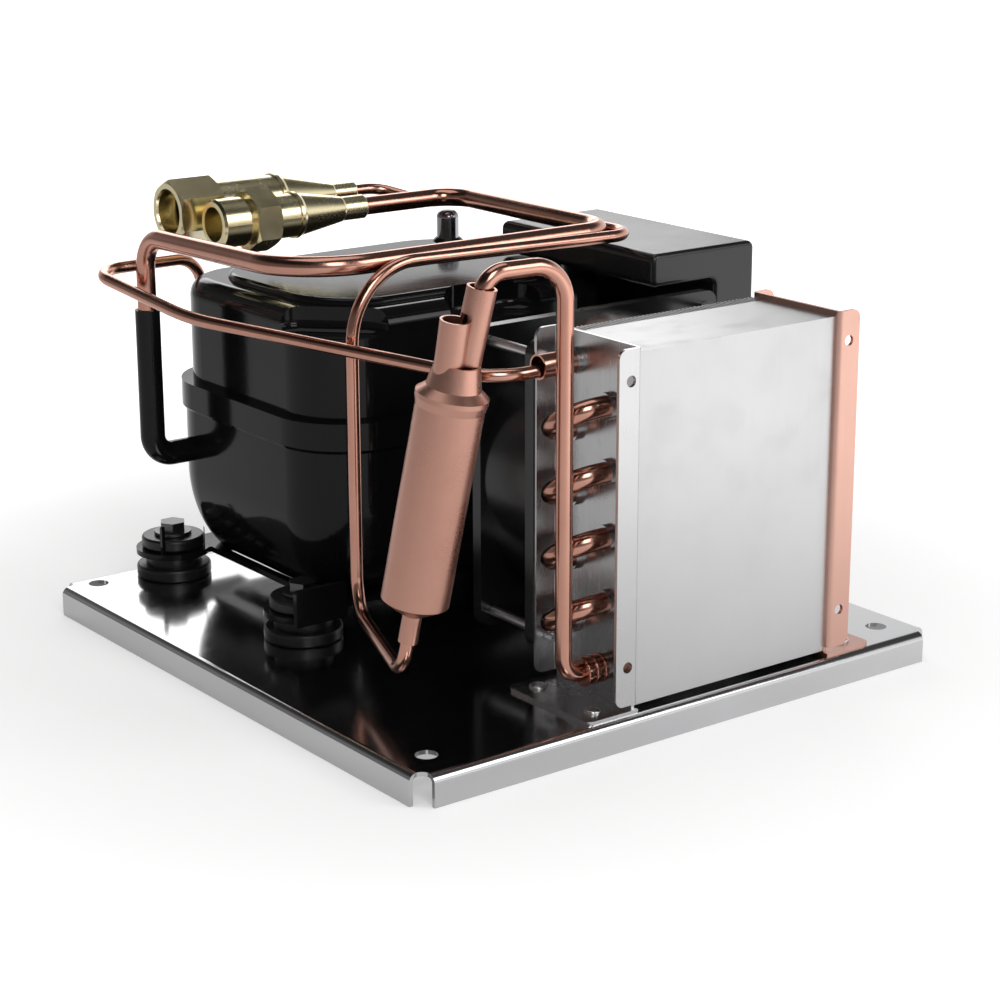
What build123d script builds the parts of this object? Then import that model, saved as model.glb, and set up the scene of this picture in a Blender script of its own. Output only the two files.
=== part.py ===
"""Air-cooled refrigeration condensing unit on a folded base plate.

Frame: millimetres, +Z up, the base centred on the origin and standing on z = 0. +X runs along
the condenser's face, -Y is the side that the air enters from.
"""
import os
from math import cos, radians, sin, sqrt

from build123d import *

os.makedirs("parts", exist_ok=True)

# ---- base plate: a sheet tray with its flanges folded down ------------------------------
BASE_LENGTH = 256.1
BASE_DEPTH = 271.0
BASE_HEIGHT = 12.2
BASE_SHEET = 1.6
BASE_BEND = 3.2
BASE_NOTCH = 6.4
BASE_HOLE = 8.5
BASE_HOLE_SPACING_X = 225.0
BASE_HOLE_SPACING_Y = 243.2
BASE_HOLE_SHIFT_Y = 3.8

# ---- condenser: two channel-shaped end plates, a fin block and five hairpin tubes --------
CORE_WIDTH = 97.4
CORE_DEPTH = 48.9
CORE_CENTRE_X = 22.0
CORE_FRONT_Y = -132.3
CORE_TOP_Z = 150.8
CORE_GAP = 2.1
PLATE_SHEET = 1.4
PLATE_FLANGE = 10.8
PLATE_BEND = 2.3
PLATE_CORNER = 3.5
FOOT_TAB = 22.5
FOOT_TAB_HOLE = 3.4
FIN_PITCH = 6.0
FIN_GROOVE_WIDTH = 1.6
FIN_GROOVE_DEPTH = 2.4
CORE_BOLT_HOLE = 4.3
CORE_BOLT_PITCH = 108.0
CORE_BOLT_CENTRE_Z = 85.0

TUBE = 8.0
TUBE_WALL = 0.8
TUBE_ROWS = 5
TUBE_PITCH = 25.0
TUBE_FRONT_Y = -115.3
TUBE_BACK_Y = -95.2
TUBE_FRONT_TOP_Z = 126.2
TUBE_BACK_TOP_Z = 139.2
TUBE_FIT = 0.05
COLLAR_WALL = 1.0
COLLAR_LENGTH = 2.2
BEND_LEG = 1.2
RETURN_LEG = 0.9
PORT_LEG = 5.6

# ---- copper line sizes -------------------------------------------------------------------
LINE_SMALL = 5.0
LINE_SMALL_WALL = 0.8
LINE_OUTLET = 6.35
LINE_OUTLET_WALL = 0.8
LINE_SUCTION = 7.94
LINE_SUCTION_WALL = 1.0
SOCKET_FIT = 0.1

# ---- sockets on the condenser ------------------------------------------------------------
INLET_SOCKET_WALL = 0.75
INLET_SOCKET_END_X = -45.1
OUTLET_SLEEVE = 11.0
OUTLET_SLEEVE_END_X = -40.5
OUTLET_SLEEVE_RIB = 0.5

# ---- outlet line: condenser to drier -----------------------------------------------------
OUTLET_RISE_X = -48.6
OUTLET_TOP_Z = 181.0
OUTLET_BEND_LOW = 7.5
OUTLET_BEND_TOP = 13.5
OUTLET_BEND_DRIER = 9.0

# ---- filter drier: a spun copper shell that leans between its two lines --------------------
DRIER_FOOT = Vector(-99.9, -93.2, 58.4)
DRIER_HEAD = Vector(-91.2, -106.2, 139.6)
DRIER_BODY = 25.0
DRIER_RIM = 26.4
DRIER_WALL = 1.2
DRIER_NECK_BASE = 20.0
DRIER_NECK = 10.8
DRIER_NECK_WALL = 0.9
DRIER_CONE = 10.0
DRIER_NECK_OFFSET = 4.6
DRIER_TALL_NECK = 37.6
DRIER_SHORT_NECK = 26.0
DRIER_STUB = 7.2
DRIER_STUB_LENGTH = 14.0
DRIER_SHOULDER = 6.0

# ---- liquid line: drier to the female coupling -------------------------------------------
LIQUID_RISE_X = -75.8
LIQUID_NEAR_Y = -20.2
LIQUID_TOP_Z = 168.0
LIQUID_FAR_Z = 163.8
LIQUID_CORNER_X = 64.3
LIQUID_FAR_Y = 104.0
LIQUID_FLOOR_Z = 32.0

# ---- suction line: male coupling to the compressor ---------------------------------------
SUCTION_TOP_Z = 167.0
SUCTION_DIP = 3.2
SUCTION_NEAR_Y = -12.6
SUCTION_CORNER_X = 57.3
SUCTION_STUB = 10.4
SUCTION_STUB_TOP_Z = 133.0
SUCTION_STUB_Z = 70.0
SUCTION_PORT_Y = 106.8
SUCTION_RISE = Vector(-93.2, SUCTION_PORT_Y, 0)

# ---- discharge line: compressor to condenser ----------------------------------------------
DISCHARGE_TOP_Z = 146.7
DISCHARGE_STUB = 6.4
DISCHARGE_PORT_Z = 109.0
DISCHARGE_STUB_TOP_Z = 127.0

# ---- couplings ----------------------------------------------------------------------------
MALE_Y = 96.8
MALE_Z = 167.0
MALE_MOUTH_X = -66.0
MALE_THREAD = 20.6
MALE_HEX = 24.0
FEMALE_Y = 121.5
FEMALE_Z = 169.5
FEMALE_MOUTH_X = -73.5
FEMALE_HEX = 24.0
NUT_THREAD = 19.0
NUT_THREAD_LENGTH = 9.0
NUT_RELIEF = 0.8
VALVE_SET_BACK = 0.5
VALVE_STEM = 3.0
VALVE_HEAD = 9.6
VALVE_GUIDE_FIT = 0.05

# ---- compressor ----------------------------------------------------------------------------
SHELL_CENTRE = Vector(5.0, 66.6, 0)
SHELL_LENGTH = 158.0
SHELL_DEPTH = 126.0
SHELL_CORNER = 30.0
DISCHARGE_RISE_X = -52.5
DISCHARGE_STANDOFF = 2.6
DISCHARGE_RISE = Vector(DISCHARGE_RISE_X, SHELL_CENTRE.Y + SHELL_DEPTH / 2 + DISCHARGE_STANDOFF, 0)
SHELL_WALL = 3.0
SHELL_FLOOR_Z = 19.4
SHELL_BOWL = 27.0
SHELL_RIM_Z = 86.8
SHELL_RIM_HEIGHT = 12.7
SHELL_RIM_PROUD = 3.0
SHELL_RIM_FIT = 0.1
LID_INSET = 1.5
SHELL_TOP_Z = 145.5
SHELL_TOP_FILLET = 9.0
SHELL_PLATEAU_INSET = 13.0
SHELL_PLATEAU_DROP = 2.6
POCKET_WIDTH = 26.0
POCKET_FLOOR_Z = 132.5
POCKET_ROUND = 5.0
CORNER_POCKET_LENGTH = 52.0
FRONT_POCKET_LENGTH = 46.0
FRONT_POCKET_X = 12.0
PROCESS_TUBE = 10.0
PROCESS_TUBE_WALL = 1.2
PROCESS_XY = Vector(59.0, 103.8, 0)
PROCESS_TUBE_RISE = 14.0
PROCESS_DOME = 20.0

# ---- inside the compressor -------------------------------------------------------------------
CRANK_X = -12.0
STATOR = 92.0
STATOR_BORE = 50.0
STATOR_Z = 36.0
STATOR_HEIGHT = 38.0
WINDING_PROUD = 5.0
WINDING_INSET = 13.5
AIR_GAP = 0.6
JOURNAL = 14.0
CRANK_LOW_Z = 30.0
CRANK_WEB_Z = 101.0
CRANK_WEB = 44.0
CRANK_WEB_THICK = 3.0
CRANK_THROW = 7.0
CRANK_PIN = 9.0
CRANK_PIN_HEIGHT = 3.6
ROD_CLEARANCE = 0.4
ROD_THICK = 4.0
BLOCK_THICK = 11.0
BLOCK_LENGTH = 96.0
BLOCK_DEPTH = 74.0
BORE = 24.0
BARREL = 34.0
BARREL_X0 = 13.0
BARREL_LENGTH = 36.0
PISTON_LENGTH = 20.0
PISTON_FIT = 0.05
SPRING = 12.0
SPRING_WIRE = 1.6
SPRING_GAP = 1.1
HEAD_THICK = 8.0

# ---- feet ------------------------------------------------------------------------------------
FOOT_CENTRE_X = 6.0
FOOT_SPACING_X = 170.0
FOOT_SPACING_Y = 104.0
FOOT_SHEET = 2.4
FOOT_SHEET_Z = 22.4
GROMMET = 32.0
GROMMET_UPPER = 27.0
GROMMET_LOWER_HEIGHT = 5.4
GROMMET_NECK = 20.0
GROMMET_BORE = 10.4
GROMMET_GROOVE_FIT = 0.15
GROMMET_TOP_HEIGHT = 5.2
SLEEVE_BORE = 6.4
SLEEVE_OUTER = 10.0
FOOT_BOLT = 6.0
FOOT_BOLT_HEAD = 10.0
FOOT_WASHER = 16.0
FOOT_WASHER_THICK = 1.2
FOOT_HOLE_FIT = 0.4
FOOT_CLEARANCE = 0.3
BRACKET_WEB_OFFSET = 12.0
BRACKET_REACH = 36.0

# ---- control box -----------------------------------------------------------------------------
BOX_X0 = 57.0
BOX_X1 = 112.5
BOX_SPLIT_X = 98.7
BOX_Y0 = -39.7
BOX_Y1 = 61.8
BOX_TOP_Z = 160.2
BOX_LIP_Z = 146.6
BOX_DEEP_X = 91.0
BOX_DEEP_Z = 104.0
BOX_WALL = 2.0
BOX_EDGE = 3.2

# ---- fan: 120 mm axial, seven blades -----------------------------------------------------------
FAN_BEARING = 8.0
FAN_SIZE = 120.0
FAN_DEPTH = 38.0
FAN_FLANGE = 5.0
FAN_CORNER = 5.0
FAN_DUCT = 114.0
FAN_DUCT_WALL = 1.8
FAN_HUB = 52.0
FAN_HUB_WALL = 1.8
FAN_BLADES = 7
FAN_BLADE_TIP = 110.0
FAN_BLADE_THICK = 1.5
FAN_BLADE_CHORD = 40.0
FAN_ROOT_ANGLE = 42.0
FAN_TIP_ANGLE = 26.0
FAN_SHAFT = 4.0
FAN_SCREW = 4.0
FAN_SCREW_HEAD = 7.6
FAN_STRUTS = 4
RUNNING_FIT = 0.05


def save(name, *solids):
    """One STEP file per named piece; a group of alike pieces is kept as separate solids."""
    shape = solids[0] if len(solids) == 1 else Compound(children=list(solids))
    export_step(shape, f"parts/{name}.step")


def at(x, y, z):
    return Pos(x, y, z)


def block(x0, x1, y0, y1, z0, z1):
    """A box given by its two corners."""
    return at((x0 + x1) / 2, (y0 + y1) / 2, (z0 + z1) / 2) * Box(x1 - x0, y1 - y0, z1 - z0)


def rod(start, end, radius):
    """A round bar from one point to another."""
    axis = Vector(end) - Vector(start)
    return extrude(Plane(origin=start, z_dir=axis) * Circle(radius), amount=axis.length)


def ring_bar(start, end, outer_radius, inner_radius):
    """A round sleeve from one point to another."""
    return rod(start, end, outer_radius) - rod(start, end, inner_radius)


def pipe(points, radii, outer, wall):
    """A bent tube: straight runs joined by tangent arcs, open at both ends."""
    route = FilletPolyline(*points, radius=radii)
    section = Plane(origin=route @ 0, z_dir=route % 0) * (Circle(outer / 2) - Circle(outer / 2 - wall))
    return sweep(section, path=route)


def rounded_slab(centre, length, depth, corner, z0, z1):
    """A rounded rectangle in plan, from z0 up to z1."""
    plan = Pos(centre.X, centre.Y, z0) * RectangleRounded(length, depth, corner)
    return extrude(plan, amount=z1 - z0)


def turned(profile, origin, axis):
    """Revolve a list of (distance along the axis, radius) points about an axis through origin."""
    frame = Plane(origin=origin, x_dir=axis, z_dir=Vector(axis).cross(Vector(0, 0, 1)))
    first, last = profile[0][0], profile[-1][0]
    outline = Polyline((first, 0), *profile, (last, 0), close=True)
    return revolve(frame * make_face(outline), axis=Axis(origin, axis))


# ---- base -------------------------------------------------------------------------------------

def base_hole_places():
    half_x = BASE_HOLE_SPACING_X / 2
    half_y = BASE_HOLE_SPACING_Y / 2
    return [(sx * half_x, BASE_HOLE_SHIFT_Y + sy * half_y) for sx in (-1, 1) for sy in (-1, 1)]


def foot_places():
    half_x = FOOT_SPACING_X / 2
    half_y = FOOT_SPACING_Y / 2
    return [(FOOT_CENTRE_X + sx * half_x, SHELL_CENTRE.Y + sy * half_y)
            for sx in (-1, 1) for sy in (-1, 1)]


def make_base_plate():
    """The tray: a folded sheet, open below, with round reliefs where two bends would meet."""
    outer = at(0, 0, BASE_HEIGHT / 2) * Box(BASE_LENGTH, BASE_DEPTH, BASE_HEIGHT)
    outer = fillet(outer.faces().sort_by(Axis.Z)[-1].edges(), BASE_BEND)
    inside_height = BASE_HEIGHT - BASE_SHEET
    inner = at(0, 0, inside_height / 2) * Box(
        BASE_LENGTH - 2 * BASE_SHEET, BASE_DEPTH - 2 * BASE_SHEET, inside_height)
    inner = fillet(inner.faces().sort_by(Axis.Z)[-1].edges(), BASE_BEND - BASE_SHEET)
    tray = outer - inner
    half = BASE_NOTCH / 2
    for sx in (-1, 1):
        for sy in (-1, 1):
            x = sx * BASE_LENGTH / 2
            y = sy * BASE_DEPTH / 2
            relief = at(x - sx * half, y - sy * half, BASE_HEIGHT / 2) * Cylinder(half, 2 * BASE_HEIGHT)
            along_x = at(x - sx * half, y, BASE_HEIGHT / 2) * Box(BASE_NOTCH, BASE_NOTCH, 2 * BASE_HEIGHT)
            along_y = at(x, y - sy * half, BASE_HEIGHT / 2) * Box(BASE_NOTCH, BASE_NOTCH, 2 * BASE_HEIGHT)
            tray -= relief + along_x + along_y
    for x, y in base_hole_places():
        tray -= at(x, y, BASE_HEIGHT) * Cylinder(BASE_HOLE / 2, 4 * BASE_SHEET)
    for x, y in foot_places():
        tray -= at(x, y, BASE_HEIGHT) * Cylinder((FOOT_BOLT + FOOT_HOLE_FIT) / 2, 4 * BASE_SHEET)
    for x, y in rivet_places():
        tray -= at(x, y, BASE_HEIGHT) * Cylinder(FOOT_TAB_HOLE / 2, 4 * BASE_SHEET)
    return tray


# ---- condenser ---------------------------------------------------------------------------------

def tube_rows():
    """Centres (y, z) of the front and back tube rows, from the top down."""
    front = [(TUBE_FRONT_Y, TUBE_FRONT_TOP_Z - i * TUBE_PITCH) for i in range(TUBE_ROWS)]
    back = [(TUBE_BACK_Y, TUBE_BACK_TOP_Z - i * TUBE_PITCH) for i in range(TUBE_ROWS)]
    return front, back


def core_side_x(side):
    """The inner face of an end plate: side is -1 on the left, +1 on the right."""
    return CORE_CENTRE_X + side * CORE_WIDTH / 2


def rivet_places():
    """Rivets through both foot tabs, a third of the depth in from each end."""
    places = []
    for side in (-1, 1):
        x = core_side_x(side) + side * (PLATE_SHEET + FOOT_TAB * 0.62)
        for fraction in (0.17, 0.83):
            places.append((x, CORE_FRONT_Y + fraction * CORE_DEPTH))
    return places


def core_bolt_places():
    half = CORE_BOLT_PITCH / 2
    return [(CORE_CENTRE_X + sx * half, CORE_BOLT_CENTRE_Z + sz * half) for sx in (-1, 1) for sz in (-1, 1)]


def make_end_plate(side):
    """A channel of sheet: the web against the fins, two flanges and a foot tab turned outwards."""
    x_in = core_side_x(side)
    x_web = x_in + side * PLATE_SHEET
    x_edge = x_in + side * PLATE_FLANGE
    back_y = CORE_FRONT_Y + CORE_DEPTH
    foot_top = BASE_HEIGHT + PLATE_SHEET
    flange_low = foot_top + PLATE_BEND
    height = CORE_TOP_Z - flange_low
    solid = block(min(x_in, x_edge), max(x_in, x_edge), CORE_FRONT_Y, back_y, flange_low, CORE_TOP_Z)
    corners = solid.edges().filter_by(Axis.Z).filter_by_position(Axis.X, x_in - 0.01, x_in + 0.01)
    solid = fillet(corners, PLATE_BEND)
    hollow = block(min(x_web, x_edge + side), max(x_web, x_edge + side),
                   CORE_FRONT_Y + PLATE_SHEET, back_y - PLATE_SHEET, flange_low, CORE_TOP_Z)
    inner = hollow.edges().filter_by(Axis.Z).filter_by_position(Axis.X, x_web - 0.01, x_web + 0.01)
    hollow = fillet(inner, PLATE_BEND - PLATE_SHEET)
    channel = solid - hollow
    flange_corners = channel.edges().filter_by(Axis.Y).filter_by_position(
        Axis.X, x_edge - 0.01, x_edge + 0.01)
    channel = fillet(flange_corners, PLATE_CORNER)
    web_foot = block(min(x_in, x_web), max(x_in, x_web), CORE_FRONT_Y + PLATE_BEND, back_y - PLATE_BEND,
                     BASE_HEIGHT, flange_low)
    x_tab = x_in + side * (PLATE_SHEET + FOOT_TAB)
    tab = block(min(x_in, x_tab), max(x_in, x_tab), CORE_FRONT_Y, back_y, BASE_HEIGHT, foot_top)
    tab = fillet(tab.edges().filter_by(Axis.Z).filter_by_position(Axis.X, x_tab - 0.01, x_tab + 0.01),
                 PLATE_CORNER)
    plate = channel + web_foot + tab
    for x, y in rivet_places():
        plate -= at(x, y, BASE_HEIGHT) * Cylinder(FOOT_TAB_HOLE / 2, 4 * PLATE_SHEET)
    for x, z in core_bolt_places():
        plate -= rod((x, CORE_FRONT_Y - 1, z), (x, back_y + 1, z), CORE_BOLT_HOLE / 2)
    for y, z in sum(tube_rows(), []):
        collar_end = x_web + side * COLLAR_LENGTH
        bore = TUBE / 2 + TUBE_FIT
        plate += rod((x_web, y, z), (collar_end, y, z), bore + COLLAR_WALL)
        plate -= rod((x_in - side, y, z), (collar_end + side, y, z), bore)
    return plate


def make_fin_pack():
    """The fin block between the end plates, grooved where the fins show behind the fan."""
    x0, x1 = core_side_x(-1), core_side_x(1)
    back_y = CORE_FRONT_Y + CORE_DEPTH
    low = BASE_HEIGHT + CORE_GAP
    pack = block(x0, x1, CORE_FRONT_Y, back_y, low, CORE_TOP_Z)
    count = int((CORE_WIDTH - FIN_PITCH) / FIN_PITCH)
    start = CORE_CENTRE_X - (count - 1) * FIN_PITCH / 2
    for i in range(count):
        x = start + i * FIN_PITCH
        pack -= block(x - FIN_GROOVE_WIDTH / 2, x + FIN_GROOVE_WIDTH / 2,
                      back_y - FIN_GROOVE_DEPTH, back_y + 1, low - 1, CORE_TOP_Z - FIN_GROOVE_DEPTH)
    for y, z in sum(tube_rows(), []):
        pack -= rod((x0 - 1, y, z), (x1 + 1, y, z), TUBE / 2 + TUBE_FIT)
    return pack


def left_tube_end_x(leg):
    """Where a tube ends past the left plate's collar."""
    return core_side_x(-1) - PLATE_SHEET - COLLAR_LENGTH - leg


def make_hairpins():
    """Five tubes bent back on themselves at the right: each joins a back row to the front row."""
    x_right = core_side_x(1) + PLATE_SHEET + COLLAR_LENGTH + RETURN_LEG
    front, back = tube_rows()
    tubes = []
    for i in range(TUBE_ROWS):
        x_back = left_tube_end_x(PORT_LEG if i == 0 else BEND_LEG)
        x_front = left_tube_end_x(PORT_LEG if i == TUBE_ROWS - 1 else BEND_LEG)
        tubes.append(return_path(x_back, x_right, back[i], front[i], x_front))
    return tubes


def return_path(x_leg_start, x_leg_end, first, second, x_last):
    """Two parallel legs along X joined by a half-circle past x_leg_end."""
    (y0, z0), (y1, z1) = first, second
    bend = sqrt((y1 - y0) ** 2 + (z1 - z0) ** 2) / 2
    out = 1 if x_leg_end > x_leg_start else -1
    mid = ((y0 + y1) / 2, (z0 + z1) / 2)
    leg_a = Line((x_leg_start, y0, z0), (x_leg_end, y0, z0))
    arc = ThreePointArc((x_leg_end, y0, z0), (x_leg_end + out * bend, *mid), (x_leg_end, y1, z1))
    leg_b = Line((x_leg_end, y1, z1), (x_last, y1, z1))
    route = Wire([leg_a.edge(), arc.edge(), leg_b.edge()])
    section = Plane(origin=(x_leg_start, y0, z0), z_dir=(out, 0, 0)) * (
        Circle(TUBE / 2) - Circle(TUBE / 2 - TUBE_WALL))
    return sweep(section, path=route)


def make_return_bends():
    """Four bends at the left: each carries the flow from a front tube to the next back tube."""
    front, back = tube_rows()
    x_start = left_tube_end_x(BEND_LEG)
    return [return_path(x_start, x_start - RETURN_LEG, front[i], back[i + 1], x_start)
            for i in range(TUBE_ROWS - 1)]


def make_inlet_socket():
    """The flared sleeve brazed over the top tube, open to the discharge line."""
    y, z = tube_rows()[1][0]
    bore = TUBE / 2 + TUBE_FIT
    x_start = core_side_x(-1) - PLATE_SHEET - COLLAR_LENGTH
    return ring_bar((x_start, y, z), (INLET_SOCKET_END_X, y, z), bore + INLET_SOCKET_WALL, bore)


def make_outlet_sleeve():
    """The ribbed sleeve that reduces the lowest tube to the outlet line."""
    y, z = tube_rows()[0][-1]
    x_start = core_side_x(-1) - PLATE_SHEET - COLLAR_LENGTH
    x_tube = left_tube_end_x(PORT_LEG)
    radius = OUTLET_SLEEVE / 2
    sleeve = rod((x_start, y, z), (OUTLET_SLEEVE_END_X, y, z), radius - OUTLET_SLEEVE_RIB)
    for fraction in (0.12, 0.5, 0.88):
        x = x_start + fraction * (OUTLET_SLEEVE_END_X - x_start)
        rib = rod((x - 0.9, y, z), (x + 0.9, y, z), radius)
        sleeve += fillet(rib.edges(), OUTLET_SLEEVE_RIB * 0.8)
    sleeve -= rod((x_start + 1, y, z), (x_tube, y, z), TUBE / 2 + TUBE_FIT)
    sleeve -= rod((x_tube, y, z), (OUTLET_SLEEVE_END_X - 1, y, z), LINE_OUTLET / 2 + SOCKET_FIT)
    return sleeve


def make_rivets():
    """Domed rivets that hold the foot tabs to the tray."""
    rivets = []
    for x, y in rivet_places():
        top = BASE_HEIGHT + PLATE_SHEET
        shank = rod((x, y, BASE_HEIGHT - BASE_SHEET), (x, y, top), FOOT_TAB_HOLE / 2 - SOCKET_FIT / 2)
        head = rod((x, y, top), (x, y, top + 1.3), FOOT_TAB_HOLE)
        head = fillet(head.faces().sort_by(Axis.Z)[-1].edges(), 1.0)
        under = BASE_HEIGHT - BASE_SHEET
        tail = rod((x, y, under - 1.2), (x, y, under), FOOT_TAB_HOLE * 0.9)
        rivets.append(shank + head + tail)
    return rivets


# ---- filter drier and its lines ------------------------------------------------------------------

DRIER_AXIS = (DRIER_HEAD - DRIER_FOOT).normalized()
DRIER_LENGTH = (DRIER_HEAD - DRIER_FOOT).length
NECK_SIDE = (Vector(1, 0, 0) - DRIER_AXIS * DRIER_AXIS.X).normalized()


def drier_point(along, aside=0.0):
    """A point measured up the drier's axis from its foot, and aside towards the tall neck."""
    return DRIER_FOOT + DRIER_AXIS * along + NECK_SIDE * aside


def drier_form(inset):
    """The spun body: stub, shoulder, barrel, rolled rim and cone. inset moves the skin inwards."""
    barrel = DRIER_BODY / 2 - inset
    rim = DRIER_RIM / 2 - inset
    stub = DRIER_STUB / 2 - (DRIER_NECK_WALL if inset else 0)
    low = inset if inset else 0
    neck = DRIER_NECK_BASE / 2 - inset
    profile = [
        (-DRIER_STUB_LENGTH - (1 if inset else 0), stub),
        (-DRIER_SHOULDER * 0.55 + low, stub),
        (low, barrel * 0.72),
        (DRIER_SHOULDER * 0.4 + low, barrel),
        (DRIER_LENGTH - 6.0, barrel),
        (DRIER_LENGTH - 3.0, rim),
        (DRIER_LENGTH - 1.2, rim),
        (DRIER_LENGTH + 1.4 - low, neck),
        (DRIER_LENGTH + DRIER_CONE, neck * 0.82),
    ]
    return turned(profile, DRIER_FOOT, DRIER_AXIS)


def make_drier():
    """A hollow shell whose top is pinched into two necks: one takes the line, one stays open."""
    cone_start = DRIER_LENGTH + 1.0
    shell = drier_form(0)
    spaces = drier_form(DRIER_WALL)
    for sign, length in ((1, DRIER_TALL_NECK), (-1, DRIER_SHORT_NECK)):
        base = drier_point(cone_start, sign * DRIER_NECK_OFFSET * 0.7)
        tip = drier_point(DRIER_LENGTH + length, sign * DRIER_NECK_OFFSET)
        shell += rod(base, tip, DRIER_NECK / 2)
        past = tip + (tip - base).normalized() * 2
        spaces += rod(base, past, DRIER_NECK / 2 - DRIER_NECK_WALL)
    return shell - spaces


def make_desiccant():
    """The bead pack inside the drier, between its two screens."""
    start = drier_point(DRIER_SHOULDER + 8)
    end = drier_point(DRIER_LENGTH - 16)
    return rod(start, end, DRIER_BODY / 2 - DRIER_WALL - 0.3)


def make_drier_screens():
    """Two dished wire screens that hold the beads."""
    radius = DRIER_BODY / 2 - DRIER_WALL - 0.3
    low = rod(drier_point(DRIER_SHOULDER + 5), drier_point(DRIER_SHOULDER + 8), radius)
    high = rod(drier_point(DRIER_LENGTH - 16), drier_point(DRIER_LENGTH - 13), radius)
    return [low, high]


def make_outlet_line():
    """From the condenser's lowest tube, up beside the end plate and over into the tall neck."""
    y, z = tube_rows()[0][-1]
    mouth = drier_point(DRIER_LENGTH + DRIER_TALL_NECK, DRIER_NECK_OFFSET)
    rise = OUTLET_TOP_Z - mouth.Z
    over = mouth + DRIER_AXIS * (rise / DRIER_AXIS.Z)
    inside = mouth - DRIER_AXIS * 8
    points = [
        (left_tube_end_x(PORT_LEG) - 0.5, y, z),
        (OUTLET_RISE_X, y, z),
        (OUTLET_RISE_X, y, OUTLET_TOP_Z),
        (over.X, over.Y, over.Z),
        (inside.X, inside.Y, inside.Z),
    ]
    return pipe(points, [OUTLET_BEND_LOW, OUTLET_BEND_TOP, OUTLET_BEND_DRIER], LINE_OUTLET, LINE_OUTLET_WALL)


def make_liquid_line():
    """From the drier's foot, under it, up in front of the compressor and round to the coupling."""
    entry = drier_point(-DRIER_STUB_LENGTH + 4)
    under = drier_point(-DRIER_STUB_LENGTH - 13)
    far_turn_x = 60.0
    settle_x = 33.0
    points = [
        (entry.X, entry.Y, entry.Z),
        (under.X, under.Y, under.Z),
        (LIQUID_RISE_X, LIQUID_NEAR_Y, LIQUID_FLOOR_Z),
        (LIQUID_RISE_X, LIQUID_NEAR_Y, LIQUID_TOP_Z),
        (LIQUID_CORNER_X, LIQUID_NEAR_Y, LIQUID_FAR_Z + 1.6),
        (LIQUID_CORNER_X, LIQUID_FAR_Y, LIQUID_FAR_Z),
        (far_turn_x - 12, LIQUID_FAR_Y, LIQUID_FAR_Z),
        (settle_x, FEMALE_Y, FEMALE_Z),
        (female_ferrule_end_x() - 8, FEMALE_Y, FEMALE_Z),
    ]
    radii = [11.0, 14.0, 29.0, 13.0, 13.0, 14.0, 14.0]
    return pipe(points, radii, LINE_SMALL, LINE_SMALL_WALL)


def make_discharge_line():
    """From the compressor's rear stub, down the left side and into the condenser's top tube."""
    socket_y, socket_z = tube_rows()[1][0]
    end_z = socket_z - (TUBE - LINE_SMALL) / 2
    points = [
        (DISCHARGE_RISE.X, DISCHARGE_RISE.Y, DISCHARGE_STUB_TOP_Z - 8),
        (DISCHARGE_RISE.X, DISCHARGE_RISE.Y, DISCHARGE_TOP_Z),
        (-106.0, DISCHARGE_RISE.Y - 1.0, DISCHARGE_TOP_Z),
        (-103.5, 54.0, 139.4),
        (-66.5, socket_y, end_z),
        (INLET_SOCKET_END_X + 5, socket_y, end_z),
    ]
    radii = [12.0, 15.0, 120.0, 20.0]
    return pipe(points, radii, LINE_SMALL, LINE_SMALL_WALL)


def make_suction_line():
    """From the suction coupling, round over the compressor, down into the compressor's stub."""
    corner_x = SUCTION_CORNER_X
    points = [
        (male_ferrule_end_x() - 8, MALE_Y, MALE_Z),
        (corner_x, MALE_Y, MALE_Z),
        (corner_x, SUCTION_NEAR_Y, SUCTION_TOP_Z),
        (SUCTION_RISE.X, SUCTION_NEAR_Y, SUCTION_TOP_Z),
        (SUCTION_RISE.X, SUCTION_RISE.Y, SUCTION_TOP_Z - SUCTION_DIP),
        (SUCTION_RISE.X, SUCTION_RISE.Y, SUCTION_STUB_TOP_Z - 12),
    ]
    return pipe(points, [14.0, 14.0, 30.0, 14.0], LINE_SUCTION, LINE_SUCTION_WALL)


def suction_port():
    """Where the suction stub starts, inside the shell's wall."""
    return Vector(SHELL_CENTRE.X - SHELL_LENGTH / 2 + SHELL_WALL, SUCTION_PORT_Y, SUCTION_STUB_Z)


def discharge_port():
    """Where the discharge stub starts, inside the lid's rear left corner, above the rim."""
    corner_x = SHELL_CENTRE.X - SHELL_LENGTH / 2 + SHELL_CORNER
    corner_y = SHELL_CENTRE.Y + SHELL_DEPTH / 2 - SHELL_CORNER
    outward = Vector(DISCHARGE_RISE.X - corner_x, DISCHARGE_RISE.Y - corner_y, 0).normalized()
    start = SHELL_CORNER - LID_INSET - SHELL_WALL
    return Vector(corner_x, corner_y, DISCHARGE_PORT_Z) + outward * start


def make_suction_stub():
    """The painted steel elbow that leaves the shell and takes the suction line in its mouth."""
    wall = (SUCTION_STUB - LINE_SUCTION) / 2 - SOCKET_FIT
    port = suction_port()
    points = [
        (port.X, port.Y, port.Z),
        (SUCTION_RISE.X, port.Y, port.Z),
        (SUCTION_RISE.X, SUCTION_RISE.Y, SUCTION_STUB_TOP_Z),
    ]
    return pipe(points, [9.0], SUCTION_STUB, wall)


# ---- couplings ---------------------------------------------------------------------------------

def hex_bar(x0, x1, y, z, flats):
    """A hexagonal bar along X with flats facing +Y and -Y, its corners turned down."""
    plane = Plane(origin=(x0, y, z), x_dir=(0, 0, 1), z_dir=(1, 0, 0))
    bar = extrude(plane * RegularPolygon(flats / 2, 6, major_radius=False, rotation=0), amount=x1 - x0)
    corner = flats / sqrt(3)
    edge = (corner - flats / 2) * 0.55
    cap = turned([(0, corner - edge * 1.7), (edge, corner), (x1 - x0 - edge, corner),
                  (x1 - x0, corner - edge * 1.7)], (x0, y, z), (1, 0, 0))
    return bar & cap


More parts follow.
